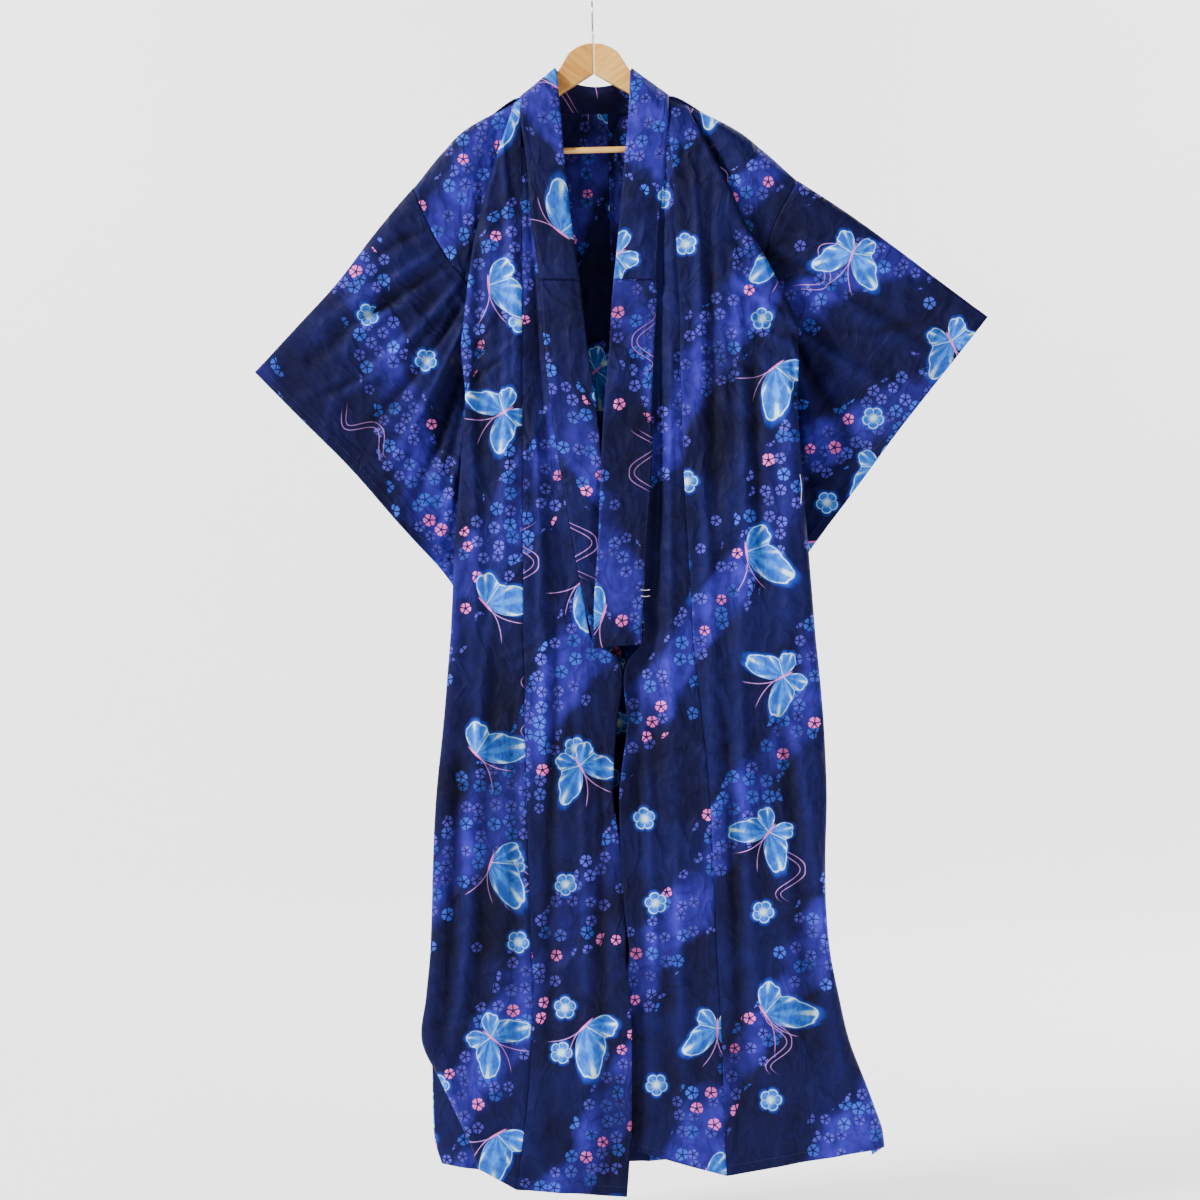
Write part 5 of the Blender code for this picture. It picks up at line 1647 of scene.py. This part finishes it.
def line_on(points, axis, place, outward):
    """A line across a grid, a distance in from an edge of it, with the ways out of the cloth."""
    grid = points if axis == 0 else np.swapaxes(points, 0, 1)
    facing = normals(grid)
    if np.mean(facing[..., 1]) * outward < 0:
        facing = -facing
    line, out = [], []
    for row, ways, places in zip(grid, facing, run(grid, 1)):
        target = place if place >= 0 else places[-1] + place
        line.append(along_line(target, places, row))
        out.append(along_line(target, places, ways))
    return np.array(line), np.array(out)


# Stitches: from one to the next, each one's length and half thickness, and its height off the cloth
STITCH_PITCH = 0.0042
STITCH_LENGTH = 0.0024
STITCH_THICK = 0.00028
STITCH_LIFT = 0.0004
COLLAR_STITCHES = 0.003
OVER_COLLAR_STITCHES = 0.004
HEM_STITCHES = -0.014
CUFF_STITCHES = -0.012

# White threads by name and the cloth they lie on: x, drop and how far they stand off, in cm
THREAD_RADIUS = 0.0004
THREAD_NEAR = 0.003
LOOSE_THREADS = (
    ("thread_tack_upper", "collar", ((7.1, 85.9, 0.1), (7.7, 86.0, 0.16), (8.4, 85.9, 0.1))),
    ("thread_tack_lower", "collar", ((7.1, 86.8, 0.1), (7.7, 86.9, 0.16), (8.4, 86.8, 0.1))),
    ("thread_side", "front_left", ((30.2, 69.2, 0.1), (30.4, 71.2, 0.18), (30.3, 73.4, 0.1))),
)


def thread_curve(name, points, finish):
    """A loose thread through points."""
    curve = bpy.data.curves.new(name, "CURVE")
    curve.dimensions = "3D"
    curve.bevel_depth = THREAD_RADIUS
    curve.bevel_resolution = 2
    curve.use_fill_caps = True
    line = curve.splines.new("POLY")
    path = smooth(np.array(points), stations(len(points), 4))
    line.points.add(len(path) - 1)
    for point, place in zip(line.points, path):
        point.co = (*place, 1.0)
    curve.materials.append(finish)
    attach(add_object(name, curve), "root")


def sew(shown):
    """Rows of stitches along hems and seams, and loose white threads."""
    navy = thread_finish("navy thread", linear(34, 34, 84))
    white = thread_finish("white thread", linear(226, 226, 232))
    rows = [
        ("stitches_collar_outer", "collar", 0, COLLAR_STITCHES, -1),
        ("stitches_over_collar", "over_collar", 0, OVER_COLLAR_STITCHES, -1),
    ]
    for panel, outward in (("front", -1), ("overlap", -1), ("back", 1)):
        for word in ("right", "left"):
            cloth = f"{panel}_{word}"
            rows.append((f"stitches_hem_{cloth}", cloth, 1, HEM_STITCHES, outward))
    for word in ("right", "left"):
        rows.append((f"stitches_cuff_{word}", f"sleeve_{word}", 0, CUFF_STITCHES, -1))
    for name, cloth, axis, place, outward in rows:
        line, facing = line_on(shown[cloth], axis, place, outward)
        stitch_row(name, line, facing, navy)
    for name, cloth, path in LOOSE_THREADS:
        cloth_points = shown[cloth].reshape(-1, 3)
        placed = []
        for x, drop, stand in path:
            place = xyz(x * CM, drop * CM, 0.0)
            away = np.hypot(cloth_points[:, 0] - place[0], cloth_points[:, 2] - place[2])
            near = cloth_points[away < away.min() + THREAD_NEAR]
            place[1] = near[:, 1].min() - stand * CM
            placed.append(place)
        thread_curve(name, placed, white)


def dress_hanger():
    """Wood and wire on the hanger's own solids; the right arm's wood is darker as painted shade."""
    light = linear(226, 176, 94), linear(202, 146, 66)
    # Painted shade: the right arm takes the same wood in darker colours, for the shade on its side
    # of the hanger's V.
    dark = linear(210, 154, 72), linear(180, 120, 46)
    finishes = {
        "hanger_wing_right": wood_finish("wood, right arm", -1, *dark),
        "hanger_wing_left": wood_finish("wood, left arm", 1, *light),
        "hanger_bar": wood_finish("wood, bar", 0, *light),
        "hanger_hook": wire_finish("wire"),
    }
    for name, finish in finishes.items():
        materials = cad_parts[name].data.materials
        materials.clear()
        materials.append(finish)


# The camera's distance, the width that it sees there and the point that it faces, in metres
CAMERA_AWAY = 4.0
FRAME_WIDE = 1.757
AIM = (0.0117, 0.0, -0.874)


def make_camera():
    """A camera straight in front of the robe."""
    data = bpy.data.cameras.new("camera")
    data.lens = data.sensor_width * CAMERA_AWAY / FRAME_WIDE
    data.clip_end = 50.0
    camera = add_object("camera", data)
    camera.location = (AIM[0], -CAMERA_AWAY, AIM[2])
    camera.rotation_euler = (math.pi / 2, 0.0, 0.0)
    bpy.context.scene.camera = camera


def area_light(name, place, aim, size, power):
    """A square white light at a place, turned to a point."""
    data = bpy.data.lights.new(name, "AREA")
    data.size = size
    data.energy = power
    light = add_object(name, data)
    light.location = place
    light.rotation_euler = (Vector(aim) - Vector(place)).to_track_quat("-Z", "Y").to_euler()


# A floor that bends up into a wall behind the robe
FLOOR_Z = -1.8
FLOOR_REACH = 12.0
WALL_Y = 7.0
WALL_TOP = 7.0
BEND = 2.4
BEND_PARTS = 16

# Lights: name, place, the point each faces, size in metres and power in watts
LIGHTS = (
    ("key", (-3.0, -1.8, 1.5), (0.0, 0.0, -0.8), 0.8, 400.0),
    ("fill", (2.4, -3.0, -0.4), (0.0, 0.0, -0.9), 2.4, 34.0),
    ("back", (3.2, 1.7, 1.4), (0.0, 0.0, -0.8), 0.9, 260.0),
    ("backdrop, left", (-4.5, 3.0, 2.6), (1.0, 7.5, -0.8), 2.5, 620.0),
    ("backdrop, right", (4.5, 3.0, 2.6), (-1.0, 7.5, -0.8), 2.5, 620.0),
)
SKY_STRENGTH = 0.3


def make_stage():
    """A pale floor and wall, soft light from all round and the lights."""
    g = Graph("stage")
    tone = g.noise(g.place(), 2.0, 2.0)[0]
    pale = g.blend(tone, (0.9, 0.9, 0.9, 1.0), (0.88, 0.88, 0.885, 1.0))
    finish = g.finish(Base_Color=pale, Roughness=0.9)
    profile = [(-FLOOR_REACH, FLOOR_Z), (WALL_Y - BEND, FLOOR_Z)]
    for k in range(1, BEND_PARTS + 1):
        turn = math.pi / 2 * k / BEND_PARTS
        back, up = BEND * math.sin(turn), BEND * (1 - math.cos(turn))
        profile.append((WALL_Y - BEND + back, FLOOR_Z + up))
    profile.append((WALL_Y, WALL_TOP))
    verts = [(x, y, z) for y, z in profile for x in (-FLOOR_REACH, FLOOR_REACH)]
    faces = [(2 * k, 2 * k + 1, 2 * k + 3, 2 * k + 2) for k in range(len(profile) - 1)]
    add_mesh("floor", verts, faces, finish)
    world = bpy.data.worlds.new("world")
    world.use_nodes = True
    background = world.node_tree.nodes["Background"]
    background.inputs["Color"].default_value = (1.0, 1.0, 1.0, 1.0)
    background.inputs["Strength"].default_value = SKY_STRENGTH
    bpy.context.scene.world = world
    for light in LIGHTS:
        area_light(*light)


make_camera()
make_stage()
sew(make_robe())
dress_hanger()
